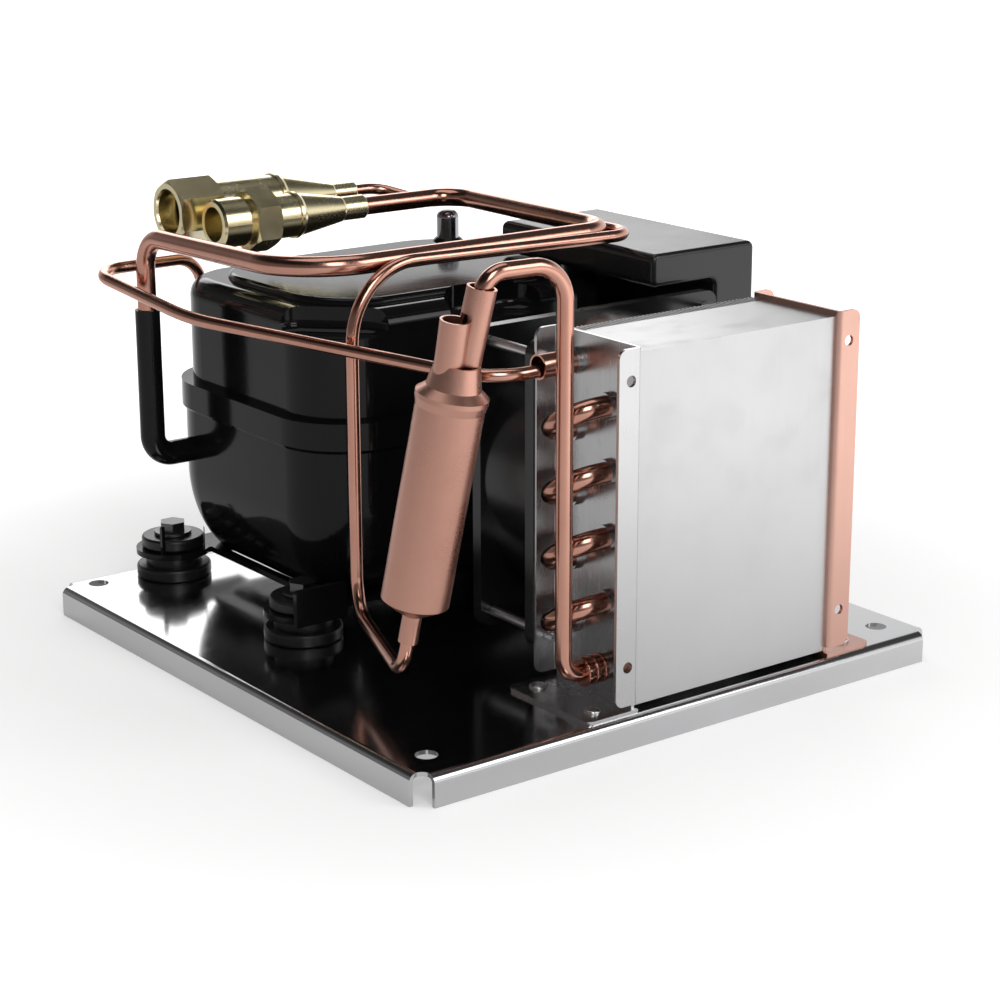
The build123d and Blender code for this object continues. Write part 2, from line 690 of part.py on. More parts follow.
MALE_STEPS = {
    "thread": 12.6, "hex_gap": 2.4, "hex": 11.6, "body": 11.2, "ring": 2.8, "cone": 21.6, "ferrule": 12.4}
FEMALE_STEPS = {"nut": 21.5, "body": 29.7, "ring": 3.0, "cone": 27.4, "ferrule": 12.4}
SUCTION_FERRULE = 10.4
LIQUID_FERRULE = 8.0
COUPLING_BORE = 14.6


def male_ferrule_end_x():
    return MALE_MOUTH_X + sum(MALE_STEPS.values())


def female_ferrule_end_x():
    return FEMALE_MOUTH_X + sum(FEMALE_STEPS.values())


def make_male_body():
    """The suction coupling's brass half: thread, undercut, hexagon and a bored body."""
    s = MALE_STEPS
    undercut = MALE_THREAD / 2 - 1.2
    hex_start = s["thread"] + s["hex_gap"]
    body_start = hex_start + s["hex"]
    end = body_start + s["body"]
    chamfer = 1.0
    form = turned([(0, MALE_THREAD / 2 - chamfer), (chamfer, MALE_THREAD / 2), (s["thread"], MALE_THREAD / 2),
                   (s["thread"] + chamfer, undercut), (hex_start, undercut),
                   (hex_start, MALE_THREAD / 2 - 1.0), (end, MALE_THREAD / 2 - 1.0)],
                  (MALE_MOUTH_X, MALE_Y, MALE_Z), (1, 0, 0))
    form += hex_bar(MALE_MOUTH_X + hex_start, MALE_MOUTH_X + body_start, MALE_Y, MALE_Z, MALE_HEX)
    bore_end = body_start
    bore = turned([(-1, COUPLING_BORE / 2), (s["thread"], COUPLING_BORE / 2),
                   (s["thread"] + 3, VALVE_HEAD / 2 + 1.0),
                   (bore_end, VALVE_HEAD / 2 + 1.0), (bore_end, VALVE_STEM / 2 + VALVE_GUIDE_FIT),
                   (end + 1, VALVE_STEM / 2 + VALVE_GUIDE_FIT)],
                  (MALE_MOUTH_X, MALE_Y, MALE_Z), (1, 0, 0))
    return form - bore


def make_tail(mouth_x, steps, y, z, start_radius, ferrule, line):
    """The tail piece: a collar, a long cone and a ferrule that grips the copper line."""
    lead = sum(v for k, v in steps.items() if k not in ("ring", "cone", "ferrule"))
    ring_end = steps["ring"]
    cone_end = ring_end + steps["cone"]
    end = cone_end + steps["ferrule"]
    form = turned([(0, start_radius + 0.7), (ring_end * 0.5, start_radius + 0.7), (ring_end, start_radius),
                   (cone_end, ferrule / 2 + 0.4), (cone_end + 0.8, ferrule / 2), (end - 0.6, ferrule / 2),
                   (end, ferrule / 2 - 0.5)], (mouth_x + lead, y, z), (1, 0, 0))
    socket = turned([(3.0, line / 2 - 1.4), (end - 9.0, line / 2 - 1.4), (end - 9.0, line / 2 + SOCKET_FIT),
                     (end + 1, line / 2 + SOCKET_FIT)], (mouth_x + lead, y, z), (1, 0, 0))
    return form - socket


def make_valve(mouth_x, seat_depth, y, z, stem_length):
    """A poppet: a domed head on a stem that slides in the body's guide."""
    head = VALVE_HEAD / 2
    return turned([(seat_depth, head - 2.4), (seat_depth + 0.8, head - 0.6), (seat_depth + 1.6, head),
                   (seat_depth + 3.2, head), (seat_depth + 4.2, VALVE_STEM / 2),
                   (seat_depth + stem_length, VALVE_STEM / 2)], (mouth_x, y, z), (1, 0, 0))


def make_female_body():
    """The liquid coupling's brass half: a spigot inside the swivel nut, then the bored body."""
    s = FEMALE_STEPS
    spigot = NUT_THREAD / 2 - 1.6
    body = FEMALE_HEX / 2 - 1.0
    end = s["nut"] + s["body"]
    nose = NUT_THREAD_LENGTH + VALVE_SET_BACK
    back = s["nut"]
    form = turned([(nose, spigot - 0.8), (nose + 0.8, spigot), (back - 6.0, spigot),
                   (back - 5.0, spigot + 1.2), (back - 3.4, spigot + 1.2), (back - 3.4, spigot), (back + 0.3, spigot),
                   (back + 0.3, body), (end, body)], (FEMALE_MOUTH_X, FEMALE_Y, FEMALE_Z), (1, 0, 0))
    guide = VALVE_STEM / 2 + VALVE_GUIDE_FIT
    bore = turned([(nose - 1, VALVE_HEAD / 2 + 0.8), (back + 4, VALVE_HEAD / 2 + 0.8), (back + 4, guide),
                   (end + 1, guide)], (FEMALE_MOUTH_X, FEMALE_Y, FEMALE_Z), (1, 0, 0))
    return form - bore


def make_swivel_nut():
    """The union nut: threaded at its mouth, turning freely behind the spigot's shoulder."""
    length = FEMALE_STEPS["nut"]
    spigot = NUT_THREAD / 2 - 1.6
    nut = hex_bar(FEMALE_MOUTH_X, FEMALE_MOUTH_X + length, FEMALE_Y, FEMALE_Z, FEMALE_HEX)
    shoulder = length - 3.1
    relief = (NUT_THREAD + NUT_RELIEF) / 2
    bore = turned([(-1, NUT_THREAD / 2 + 0.8), (1.0, NUT_THREAD / 2), (NUT_THREAD_LENGTH, NUT_THREAD / 2),
                   (NUT_THREAD_LENGTH, relief), (shoulder, relief),
                   (shoulder, spigot + RUNNING_FIT), (length + 1, spigot + RUNNING_FIT)],
                  (FEMALE_MOUTH_X, FEMALE_Y, FEMALE_Z), (1, 0, 0))
    return nut - bore


# ---- compressor --------------------------------------------------------------------------------

def shell_slab(grow, z0, z1):
    """The compressor's plan, grown by a wall or shrunk by one, between two heights."""
    length = SHELL_LENGTH + 2 * grow
    depth = SHELL_DEPTH + 2 * grow
    return rounded_slab(SHELL_CENTRE, length, depth, SHELL_CORNER + grow, z0, z1)


def bowl(grow, z0, z1):
    slab = shell_slab(grow, z0, z1)
    return fillet(slab.faces().sort_by(Axis.Z)[0].edges(), SHELL_BOWL + grow)


def dome(grow, z0, z1):
    slab = shell_slab(grow, z0, z1)
    return fillet(slab.faces().sort_by(Axis.Z)[-1].edges(), SHELL_TOP_FILLET + grow)


def make_lower_shell():
    """The drawn steel bowl, with a wider rim that takes the upper shell."""
    shelf = SHELL_RIM_Z + SHELL_WALL
    rim_top = SHELL_RIM_Z + SHELL_RIM_HEIGHT
    outer = bowl(0, SHELL_FLOOR_Z, shelf)
    rim = shell_slab(SHELL_RIM_PROUD, SHELL_RIM_Z, rim_top)
    rim = fillet(rim.faces().sort_by(Axis.Z)[-1].edges() + rim.faces().sort_by(Axis.Z)[0].edges(), 0.8)
    inner = bowl(-SHELL_WALL, SHELL_FLOOR_Z + SHELL_WALL, rim_top + 1)
    seat = shell_slab(SHELL_RIM_FIT - LID_INSET, shelf, rim_top + 1)
    shell = outer + rim - inner - seat
    suction = suction_port()
    shell -= rod((suction.X + 5, suction.Y, suction.Z), (SUCTION_RISE.X, suction.Y, suction.Z),
                 SUCTION_STUB / 2 + SOCKET_FIT)
    return shell


def lid_pocket(place, angle, length, grow):
    """A pressed pocket in the lid's shoulder: a round-ended well with a soft floor edge."""
    outline = Pos(place.X, place.Y, POCKET_FLOOR_Z - grow) * Rot(0, 0, angle) * SlotOverall(
        length + 2 * grow, POCKET_WIDTH + 2 * grow)
    well = extrude(outline, amount=SHELL_TOP_Z - POCKET_FLOOR_Z + 10)
    return fillet(well.faces().sort_by(Axis.Z)[0].edges(), POCKET_ROUND + grow)


def lid_pockets(grow):
    """One pocket across the front left corner and one in the middle of the front edge."""
    corner_x = SHELL_CENTRE.X - SHELL_LENGTH / 2 + SHELL_CORNER
    corner_y = SHELL_CENTRE.Y - SHELL_DEPTH / 2 + SHELL_CORNER
    reach = (SHELL_CORNER - LID_INSET - 1.0) / sqrt(2)
    corner = Vector(corner_x - reach, corner_y - reach)
    front = Vector(FRONT_POCKET_X, SHELL_CENTRE.Y - SHELL_DEPTH / 2 + LID_INSET + 1.0)
    return [
        lid_pocket(corner, -45, CORNER_POCKET_LENGTH, grow),
        lid_pocket(front, 0, FRONT_POCKET_LENGTH, grow),
    ]


def make_upper_shell():
    """The drawn lid: a domed edge, a raised plateau and pressed pockets at its shoulder."""
    shelf = SHELL_RIM_Z + SHELL_WALL
    ledge = SHELL_TOP_Z - SHELL_PLATEAU_DROP
    outer = dome(-LID_INSET, shelf, ledge)
    plateau = rounded_slab(SHELL_CENTRE, SHELL_LENGTH - 2 * SHELL_PLATEAU_INSET,
                           SHELL_DEPTH - 2 * SHELL_PLATEAU_INSET, SHELL_CORNER, ledge - 1, SHELL_TOP_Z)
    plateau = fillet(plateau.faces().sort_by(Axis.Z)[-1].edges(), SHELL_PLATEAU_DROP - 0.2)
    outer += plateau
    inner = dome(-LID_INSET - SHELL_WALL, shelf - 1, ledge - SHELL_WALL)
    for pocket in lid_pockets(0):
        outer -= pocket
    for pocket in lid_pockets(SHELL_WALL):
        inner -= pocket
    lid = outer - inner
    tip = PROCESS_TUBE / 2 + 0.6
    boss = Pos(PROCESS_XY.X, PROCESS_XY.Y, SHELL_TOP_Z - 0.5) * Cone(PROCESS_DOME / 2, tip, 4.0)
    lid += boss
    lid -= Pos(PROCESS_XY.X, PROCESS_XY.Y, SHELL_TOP_Z) * Cylinder(PROCESS_TUBE / 2 + SOCKET_FIT, 30)
    port = discharge_port()
    outward = Vector(DISCHARGE_RISE.X - port.X, DISCHARGE_RISE.Y - port.Y, 0).normalized()
    lid -= rod(port - outward * 5, port + outward * 8, DISCHARGE_STUB / 2 + 3 * SOCKET_FIT)
    return lid


def make_process_tube():
    """The service tube brazed into the lid, pinched shut and rounded at its end."""
    low = SHELL_TOP_Z - SHELL_PLATEAU_DROP - SHELL_WALL - 4
    top = SHELL_TOP_Z + PROCESS_TUBE_RISE
    radius = PROCESS_TUBE / 2
    tube = rod((PROCESS_XY.X, PROCESS_XY.Y, low), (PROCESS_XY.X, PROCESS_XY.Y, top), radius)
    tube = fillet(tube.faces().sort_by(Axis.Z)[-1].edges(), radius * 0.7)
    inner = radius - PROCESS_TUBE_WALL
    bore = rod((PROCESS_XY.X, PROCESS_XY.Y, low - 1), (PROCESS_XY.X, PROCESS_XY.Y, top - 4), inner)
    return tube - bore


def make_discharge_stub():
    """The painted stub behind the shell that takes the discharge line."""
    wall = (DISCHARGE_STUB - LINE_SMALL) / 2 - SOCKET_FIT
    port = discharge_port()
    points = [
        (port.X, port.Y, port.Z),
        (DISCHARGE_RISE.X, DISCHARGE_RISE.Y, port.Z),
        (DISCHARGE_RISE.X, DISCHARGE_RISE.Y, DISCHARGE_STUB_TOP_Z),
    ]
    return pipe(points, [4.0], DISCHARGE_STUB, wall)


# ---- inside the compressor ----------------------------------------------------------------------

BLOCK_Z = STATOR_Z + STATOR_HEIGHT + WINDING_PROUD
SPRING_OFFSET = (STATOR / 2 - WINDING_INSET + SPRING / 2 + SPRING_GAP) / sqrt(2)
CRANK_PIN_TOP = CRANK_WEB_Z + CRANK_WEB_THICK + CRANK_PIN_HEIGHT
BORE_Z = CRANK_PIN_TOP + ROD_CLEARANCE + ROD_THICK / 2


def upright_bar(x, y, radius, z0, z1):
    return rod((x, y, z0), (x, y, z1), radius)


def along_bore(radius, x0, x1):
    return rod((x0, SHELL_CENTRE.Y, BORE_Z), (x1, SHELL_CENTRE.Y, BORE_Z), radius)


def make_motor_stator():
    """The laminated stack with its end windings, and four legs that carry the block."""
    y = SHELL_CENTRE.Y
    top = STATOR_Z + STATOR_HEIGHT
    stack = upright_bar(CRANK_X, y, STATOR / 2, STATOR_Z, top)
    for angle in (0, 90, 180, 270):
        flat = block(CRANK_X + STATOR / 2 - 3, CRANK_X + STATOR, y - STATOR, y + STATOR, 0, top + 20)
        stack -= flat.rotate(Axis((CRANK_X, y, 0), (0, 0, 1)), angle)
    winding_low = STATOR_Z - WINDING_PROUD
    winding = upright_bar(CRANK_X, y, STATOR / 2 - WINDING_INSET, winding_low, top + WINDING_PROUD - 1)
    winding = fillet(winding.edges(), 2.5)
    for sx in (-1, 1):
        for sy in (-1, 1):
            leg_x = CRANK_X + sx * SPRING_OFFSET
            leg_y = y + sy * SPRING_OFFSET
            stack += upright_bar(leg_x, leg_y, 5.0, top, BLOCK_Z)
    stack += winding
    return stack - upright_bar(CRANK_X, y, STATOR_BORE / 2, STATOR_Z - 20, top + 20)


def make_motor_rotor():
    """The squirrel cage rotor, shrunk on the crankshaft."""
    y = SHELL_CENTRE.Y
    rotor = upright_bar(CRANK_X, y, STATOR_BORE / 2 - AIR_GAP, STATOR_Z, STATOR_Z + STATOR_HEIGHT)
    return rotor - upright_bar(CRANK_X, y, JOURNAL / 2, STATOR_Z - 1, STATOR_Z + STATOR_HEIGHT + 1)


def make_crankshaft():
    """Journal, round web and eccentric pin. The pin stops just under the rod's eye."""
    y = SHELL_CENTRE.Y
    web_top = CRANK_WEB_Z + CRANK_WEB_THICK
    shaft = upright_bar(CRANK_X, y, JOURNAL / 2, CRANK_LOW_Z, CRANK_WEB_Z)
    shaft += upright_bar(CRANK_X, y, CRANK_WEB / 2, CRANK_WEB_Z, web_top)
    shaft += upright_bar(CRANK_X, y + CRANK_THROW, CRANK_PIN / 2, web_top, CRANK_PIN_TOP)
    return shaft - upright_bar(CRANK_X, y, 1.5, CRANK_LOW_Z - 1, CRANK_WEB_Z - 10)


def make_cylinder_block():
    """The cast block: a bearing for the crankshaft and the barrel that the piston runs in."""
    y = SHELL_CENTRE.Y
    centre = Vector(CRANK_X, y, 0)
    top = BLOCK_Z + BLOCK_THICK
    body = rounded_slab(centre, BLOCK_LENGTH, BLOCK_DEPTH, 14.0, BLOCK_Z, top)
    body += upright_bar(CRANK_X, y, JOURNAL / 2 + 5, top, CRANK_WEB_Z - ROD_CLEARANCE)
    body += block(BARREL_X0, BARREL_X0 + BARREL_LENGTH, y - 12, y + 12, BLOCK_Z, BORE_Z)
    body += along_bore(BARREL / 2, BARREL_X0, BARREL_X0 + BARREL_LENGTH)
    body -= along_bore(BORE / 2, BARREL_X0 - 1, BARREL_X0 + BARREL_LENGTH + 1)
    return body - upright_bar(CRANK_X, y, JOURNAL / 2 + RUNNING_FIT, BLOCK_Z - 1, CRANK_WEB_Z)


def make_piston():
    """A hollow-backed piston with its wrist pin across the skirt."""
    x0 = BARREL_X0 + CRANK_THROW + 1
    x1 = x0 + PISTON_LENGTH
    y = SHELL_CENTRE.Y
    piston = along_bore(BORE / 2 - PISTON_FIT, x0, x1) - along_bore(BORE / 2 - 3, x0 - 1, x1 - 4)
    pin = rod((x0 + 8, y, BORE_Z - BORE / 2 + 2), (x0 + 8, y, BORE_Z - ROD_THICK / 2), 2.5)
    pin += rod((x0 + 8, y, BORE_Z + ROD_THICK / 2), (x0 + 8, y, BORE_Z + BORE / 2 - 2), 2.5)
    return piston + pin


def make_connecting_rod():
    """A flat rod with an eye over the crank pin and a small end between the pin's halves."""
    y = SHELL_CENTRE.Y
    small_x = BARREL_X0 + CRANK_THROW + 9
    low = BORE_Z - ROD_THICK / 2
    high = BORE_Z + ROD_THICK / 2
    bar = upright_bar(CRANK_X, y, CRANK_PIN / 2 + 4, low, high)
    bar += block(CRANK_X, small_x, y - 3, y + 3, low, high)
    bar += upright_bar(small_x, y, 4.5, low, high)
    return bar - upright_bar(CRANK_X, y, CRANK_PIN / 2, low - 1, high + 1)


def make_suspension_springs():
    """Four spring sleeves between the bowl's floor and the stator."""
    floor = SHELL_FLOOR_Z + SHELL_WALL
    springs = []
    for sx in (-1, 1):
        for sy in (-1, 1):
            x = CRANK_X + sx * SPRING_OFFSET
            y = SHELL_CENTRE.Y + sy * SPRING_OFFSET
            outer = upright_bar(x, y, SPRING / 2, floor, STATOR_Z)
            springs.append(outer - upright_bar(x, y, SPRING / 2 - SPRING_WIRE, floor - 1, STATOR_Z + 1))
    return springs


def make_valve_plate():
    """The plate with the two reed ports that closes the barrel."""
    x0 = BARREL_X0 + BARREL_LENGTH
    y = SHELL_CENTRE.Y
    plate = block(x0, x0 + 2, y - BARREL / 2, y + BARREL / 2, BORE_Z - BARREL / 2, BORE_Z + BARREL / 2)
    for sign in (-1, 1):
        plate -= rod((x0 - 1, y + sign * 5, BORE_Z), (x0 + 3, y + sign * 5, BORE_Z), 1.8)
    return plate


def make_cylinder_head():
    """The cast cover over the valve plate, with a chamber for each port."""
    x0 = BARREL_X0 + BARREL_LENGTH + 2
    y = SHELL_CENTRE.Y
    half = BARREL / 2
    head = block(x0, x0 + HEAD_THICK, y - half, y + half, BORE_Z - half, BORE_Z + half)
    for sign in (-1, 1):
        inner = y + sign * 1.0
        outer = y + sign * (BARREL / 2 - 3)
        y0, y1 = sorted((inner, outer))
        head -= block(x0 - 1, x0 + HEAD_THICK - 2.5, y0, y1, BORE_Z - 10, BORE_Z + 10)
    return head


# ---- feet -----------------------------------------------------------------------------------------

def upright(x0, x1, y, z1, slot_x, slot_z):
    """A tab folded up along X, pierced by one small square slot."""
    low = FOOT_SHEET_Z
    tab = block(x0, x1, y, y + FOOT_SHEET, low, z1)
    top = tab.edges().filter_by(Axis.Y).sort_by(Axis.Z)[-2:]
    tab = fillet(top, 1.2)
    return tab - block(slot_x - 3, slot_x + 3, y - 1, y + FOOT_SHEET + 1, slot_z - 2.8, slot_z + 2.8)


def make_foot_bracket(side):
    """A pressed bracket under one end of the shell, in one sheet: two eared feet joined by a web
    that is welded to the bowl, a lip along its front, and tabs folded up beside the shell."""
    x_foot = FOOT_CENTRE_X + side * FOOT_SPACING_X / 2
    half_y = FOOT_SPACING_Y / 2
    y_front = SHELL_CENTRE.Y - half_y
    y_back = SHELL_CENTRE.Y + half_y
    low = FOOT_SHEET_Z
    high = low + FOOT_SHEET
    inner_x = x_foot - side * BRACKET_REACH
    web_x = x_foot - side * BRACKET_WEB_OFFSET
    plate = block(min(web_x, inner_x), max(web_x, inner_x), y_front - 6, y_back + 6, low, high)
    for y in (y_front, y_back):
        plate += at(x_foot, y, (low + high) / 2) * Cylinder(GROMMET / 2, FOOT_SHEET)
        plate += block(min(x_foot, web_x), max(x_foot, web_x), y - 12, y + 12, low, high)
    lip_y = y_front - GROMMET / 2
    lip = block(x_foot - 13.0, x_foot + 11.0, lip_y, lip_y + FOOT_SHEET, low, low + 15)
    lip = fillet(lip.edges().filter_by(Axis.Y).sort_by(Axis.Z)[-2:], 1.6)
    plate += lip
    plate += block(x_foot - 10.0, x_foot + 8.0, y_front - GROMMET / 2, y_front, low, high)
    tab_x = x_foot - side * 18.0
    ear = block(min(tab_x, tab_x - side * FOOT_SHEET), max(tab_x, tab_x - side * FOOT_SHEET),
                y_front + 3, y_front + 20, low, low + 20)
    ear -= block(tab_x - 4, tab_x + 4, y_front + 8, y_front + 13, low + 8, low + 13)
    plate += ear
    rear = upright(min(x_foot - side * 10, x_foot + side * 11), max(x_foot - side * 10, x_foot + side * 11),
                   y_back - GROMMET / 2 + 6, low + 15, x_foot - side * 1, low + 8)
    plate += rear
    for y in (y_front, y_back):
        plate -= at(x_foot, y, low) * Cylinder(GROMMET_NECK / 2 + GROMMET_GROOVE_FIT, 10)
        plate -= rod((x_foot, y, high), (x_foot, y, high + 30), GROMMET_UPPER / 2 + FOOT_CLEARANCE)
        plate += at(x_foot, y, (low + high) / 2) * (
            Cylinder(GROMMET_UPPER / 2, FOOT_SHEET)
            - Cylinder(GROMMET_NECK / 2 + GROMMET_GROOVE_FIT, FOOT_SHEET))
    return plate - bowl(0.0, SHELL_FLOOR_Z, SHELL_RIM_Z)


def make_grommets():
    """Rubber mounts: two discs with a groove between them that grips the bracket."""
    grommets = []
    groove_low = FOOT_SHEET_Z - GROMMET_GROOVE_FIT
    groove_high = FOOT_SHEET_Z + FOOT_SHEET + GROMMET_GROOVE_FIT
    for x, y in foot_places():
        lower = rod((x, y, BASE_HEIGHT), (x, y, BASE_HEIGHT + GROMMET_LOWER_HEIGHT), GROMMET / 2)
        waist = rod((x, y, BASE_HEIGHT), (x, y, groove_low), GROMMET_UPPER / 2 - 1.5)
        neck = rod((x, y, BASE_HEIGHT), (x, y, groove_high), GROMMET_NECK / 2)
        cap = rod((x, y, groove_high), (x, y, groove_high + GROMMET_TOP_HEIGHT), GROMMET_UPPER / 2)
        body = fillet(lower.edges(), 1.2) + waist + neck + fillet(cap.edges(), 1.2)
        body -= rod((x, y, BASE_HEIGHT - 1), (x, y, groove_high + 20), GROMMET_BORE / 2)
        grommets.append(body)
    return grommets


def grommet_top_z():
    return FOOT_SHEET_Z + FOOT_SHEET + GROMMET_GROOVE_FIT + GROMMET_TOP_HEIGHT


def make_sleeves():
    """Steel spacers inside the mounts, which stop the bolts crushing the rubber."""
    return [ring_bar((x, y, BASE_HEIGHT), (x, y, grommet_top_z() + 0.4), SLEEVE_OUTER / 2, SLEEVE_BORE / 2)
            for x, y in foot_places()]


def make_washers():
    top = grommet_top_z() + 0.4
    return [ring_bar((x, y, top), (x, y, top + FOOT_WASHER_THICK), FOOT_WASHER / 2, SLEEVE_BORE / 2)
            for x, y in foot_places()]


def make_foot_bolts():
    """Hexagon bolts down through the spacers and the tray."""
    bolts = []
    under = grommet_top_z() + 0.4 + FOOT_WASHER_THICK
    tip = BASE_HEIGHT - BASE_SHEET - 6.4
    for x, y in foot_places():
        hexagon = RegularPolygon(FOOT_BOLT_HEAD / 2, 6, major_radius=False)
        head = Pos(x, y, under) * extrude(hexagon, amount=4.0)
        bolts.append(head + rod((x, y, tip), (x, y, under), FOOT_BOLT / 2))
    return bolts


def make_foot_nuts():
    top = BASE_HEIGHT - BASE_SHEET
    nuts = []
    for x, y in foot_places():
        hexagon = RegularPolygon(FOOT_BOLT_HEAD / 2, 6, major_radius=False)
        nut = Pos(x, y, top - 5.0) * extrude(hexagon, amount=5.0)
        nuts.append(nut - rod((x, y, top - 6), (x, y, top + 1), FOOT_BOLT / 2 + 0.02))
    return nuts


# ---- control box ---------------------------------------------------------------------------------

def box_form(inset):
    """The control box's outline: a flat hood over the compressor and a deep well beside it."""
    x0, x1 = BOX_X0 + inset, BOX_X1 - inset
    y0, y1 = BOX_Y0 + inset, BOX_Y1 - inset
    lip, top, deep = BOX_LIP_Z + inset, BOX_TOP_Z - inset, BOX_DEEP_Z + inset
    plane = Plane(origin=(0, y0, 0), x_dir=(1, 0, 0), z_dir=(0, 1, 0))
    step_x = BOX_DEEP_X + inset
    outline = [(x0, -lip), (x0, -top), (x1, -top), (x1, -deep), (step_x, -deep), (step_x, -lip)]
    face = make_face(Polyline(*outline, close=True))
    face = fillet(face.vertices(), BOX_EDGE - inset * 0.8)
    form = extrude(plane * face, amount=y1 - y0)
    ends = form.faces().sort_by(Axis.Y)
    return fillet(ends[0].edges() + ends[-1].edges(), BOX_EDGE * 0.6 if inset == 0 else 0.8)


def make_box_cover():
    """The moulded cover on the compressor's side of the parting line."""
    side = block(BOX_X0 - 5, BOX_SPLIT_X, BOX_Y0 - 5, BOX_Y1 + 5, 0, BOX_TOP_Z + 5)
    return (box_form(0) - box_form(BOX_WALL)) & side


def make_box_back():
    """The rear half, which carries the circuit board and meets the cover edge to edge."""
    side = block(BOX_SPLIT_X, BOX_X1 + 5, BOX_Y0 - 5, BOX_Y1 + 5, 0, BOX_TOP_Z + 5)
    return (box_form(0) - box_form(BOX_WALL)) & side


def make_circuit_board():
    x = BOX_SPLIT_X + 3.0
    board = block(x, x + 1.6, BOX_Y0 + BOX_WALL + 1, BOX_Y1 - BOX_WALL - 1, BOX_DEEP_Z + BOX_WALL + 1,
                  BOX_TOP_Z - BOX_WALL - 1)
    for sy in (-1, 1):
        y = (BOX_Y0 + BOX_Y1) / 2 + sy * 30
        post = rod((x + 1.6, y, 130), (BOX_X1 - BOX_WALL, y, 130), 3.0)
        board += post
    coil = block(x - 7, x, -20, 0, 112, 128)
    caps = [rod((x, 20 + 14 * i, 120), (x - 7, 20 + 14 * i, 120), 5.5) for i in range(2)]
    board += coil
    for cap in caps:
        board += cap
    return board


def make_terminal_block():
    """The sealed terminal on the shell's end, where the control box plugs on."""
    x_shell = SHELL_CENTRE.X + SHELL_LENGTH / 2 - LID_INSET
    y = (BOX_Y0 + BOX_Y1) / 2 + 30
    return block(x_shell, BOX_DEEP_X, y - 12, y + 12, 108, 130)


# ---- fan ----------------------------------------------------------------------------------------

FAN_FRONT_Y = CORE_FRONT_Y + CORE_DEPTH
FAN_BACK_Y = FAN_FRONT_Y + FAN_DEPTH
FAN_X = CORE_CENTRE_X
FAN_Z = CORE_BOLT_CENTRE_Z


def fan_disc(radius, y0, y1):
    return rod((FAN_X, y0, FAN_Z), (FAN_X, y1, FAN_Z), radius)


def make_fan_frame():
    """The square frame: two flanges, a round duct between them, four struts and the motor cup."""
    half = FAN_SIZE / 2
    plane = Plane(origin=(FAN_X, FAN_FRONT_Y, FAN_Z), x_dir=(1, 0, 0), z_dir=(0, 1, 0))
    square = plane * RectangleRounded(FAN_SIZE, FAN_SIZE, FAN_CORNER)
    front = extrude(square, amount=FAN_FLANGE)
    back = Pos(0, FAN_DEPTH - FAN_FLANGE, 0) * front
    frame = front + back + fan_disc(FAN_DUCT / 2 + FAN_DUCT_WALL, FAN_FRONT_Y, FAN_BACK_Y)
    frame = frame & extrude(square, amount=FAN_DEPTH)
    frame -= fan_disc(FAN_DUCT / 2, FAN_FRONT_Y - 1, FAN_BACK_Y + 1)
    hub = FAN_HUB / 2
    strut_y0 = FAN_BACK_Y - FAN_FLANGE + 0.6
    for i in range(FAN_STRUTS):
        angle = 45 + i * 360 / FAN_STRUTS
        strut = block(FAN_X + hub - 4, FAN_X + half - 2, strut_y0, FAN_BACK_Y, FAN_Z - 2.2, FAN_Z + 2.2)
        frame += strut.rotate(Axis((FAN_X, 0, FAN_Z), (0, 1, 0)), angle)
    frame += fan_disc(hub, strut_y0, FAN_BACK_Y)
    bearing_hole = fan_disc(FAN_BEARING / 2, FAN_FRONT_Y + 8, FAN_BACK_Y - 1.5)
    frame += fan_disc(5.6, FAN_FRONT_Y + 9, FAN_BACK_Y) - bearing_hole
    frame -= bearing_hole
    for x, z in core_bolt_places():
        frame -= rod((x, FAN_FRONT_Y - 1, z), (x, FAN_BACK_Y + 1, z), CORE_BOLT_HOLE / 2)
    return frame




def blade_section(radius):
    """An arched plate section of the blade where it crosses one radius, set at its own pitch."""
    share = (radius - FAN_HUB / 2) / (FAN_BLADE_TIP / 2 - FAN_HUB / 2)
    pitch = radians(FAN_ROOT_ANGLE + (FAN_TIP_ANGLE - FAN_ROOT_ANGLE) * share)
    chord = FAN_BLADE_CHORD * (0.82 + 0.42 * share)
    half = chord / 2
    camber = 0.09 * chord
    sweep_back = 7.0 * share * share
    frame = Plane(origin=(FAN_X + radius, (FAN_FRONT_Y + FAN_BACK_Y) / 2 - 4.0, FAN_Z + sweep_back),
                  x_dir=(0, sin(pitch), cos(pitch)), z_dir=(1, 0, 0))
    thick = FAN_BLADE_THICK / 2
    upper = ThreePointArc((-half, 0), (0, camber + thick), (half, 0))
    lower = ThreePointArc((half, 0), (0, camber - thick), (-half, 0))
    return frame * make_face([upper.edge(), lower.edge()])


def make_fan_rotor():
    """A cup-shaped hub with seven swept, twisted blades; the hub turns over the motor."""
    hub = FAN_HUB / 2
    cup_y0 = FAN_FRONT_Y + 3.0
    cup_y1 = FAN_BACK_Y - FAN_FLANGE - 0.6
    cup = fan_disc(hub, cup_y0, cup_y1)
    cup = fillet(cup.faces().sort_by(Axis.Y)[0].edges(), 3.0)
    inner = fan_disc(hub - FAN_HUB_WALL, cup_y0 + FAN_HUB_WALL, cup_y1 + 1)
    radii = [hub - 1.2, hub + 9, FAN_BLADE_TIP / 2 - 9, FAN_BLADE_TIP / 2 + 1.5]
    blade = loft([blade_section(r) for r in radii])
    swept = fan_disc(FAN_BLADE_TIP / 2, FAN_FRONT_Y + 1.2, FAN_BACK_Y - FAN_FLANGE - 0.6)
    blade = (blade & swept) - inner
    rotor = cup - inner
    for i in range(FAN_BLADES):
        rotor += blade.rotate(Axis((FAN_X, 0, FAN_Z), (0, 1, 0)), i * 360 / FAN_BLADES)
    boss_end = FAN_FRONT_Y + 8.2
    rotor += fan_disc(5.0, cup_y0 + FAN_HUB_WALL, boss_end)
    rotor -= fan_disc(FAN_SHAFT / 2, cup_y0 + FAN_HUB_WALL, boss_end + 1)
    return rotor


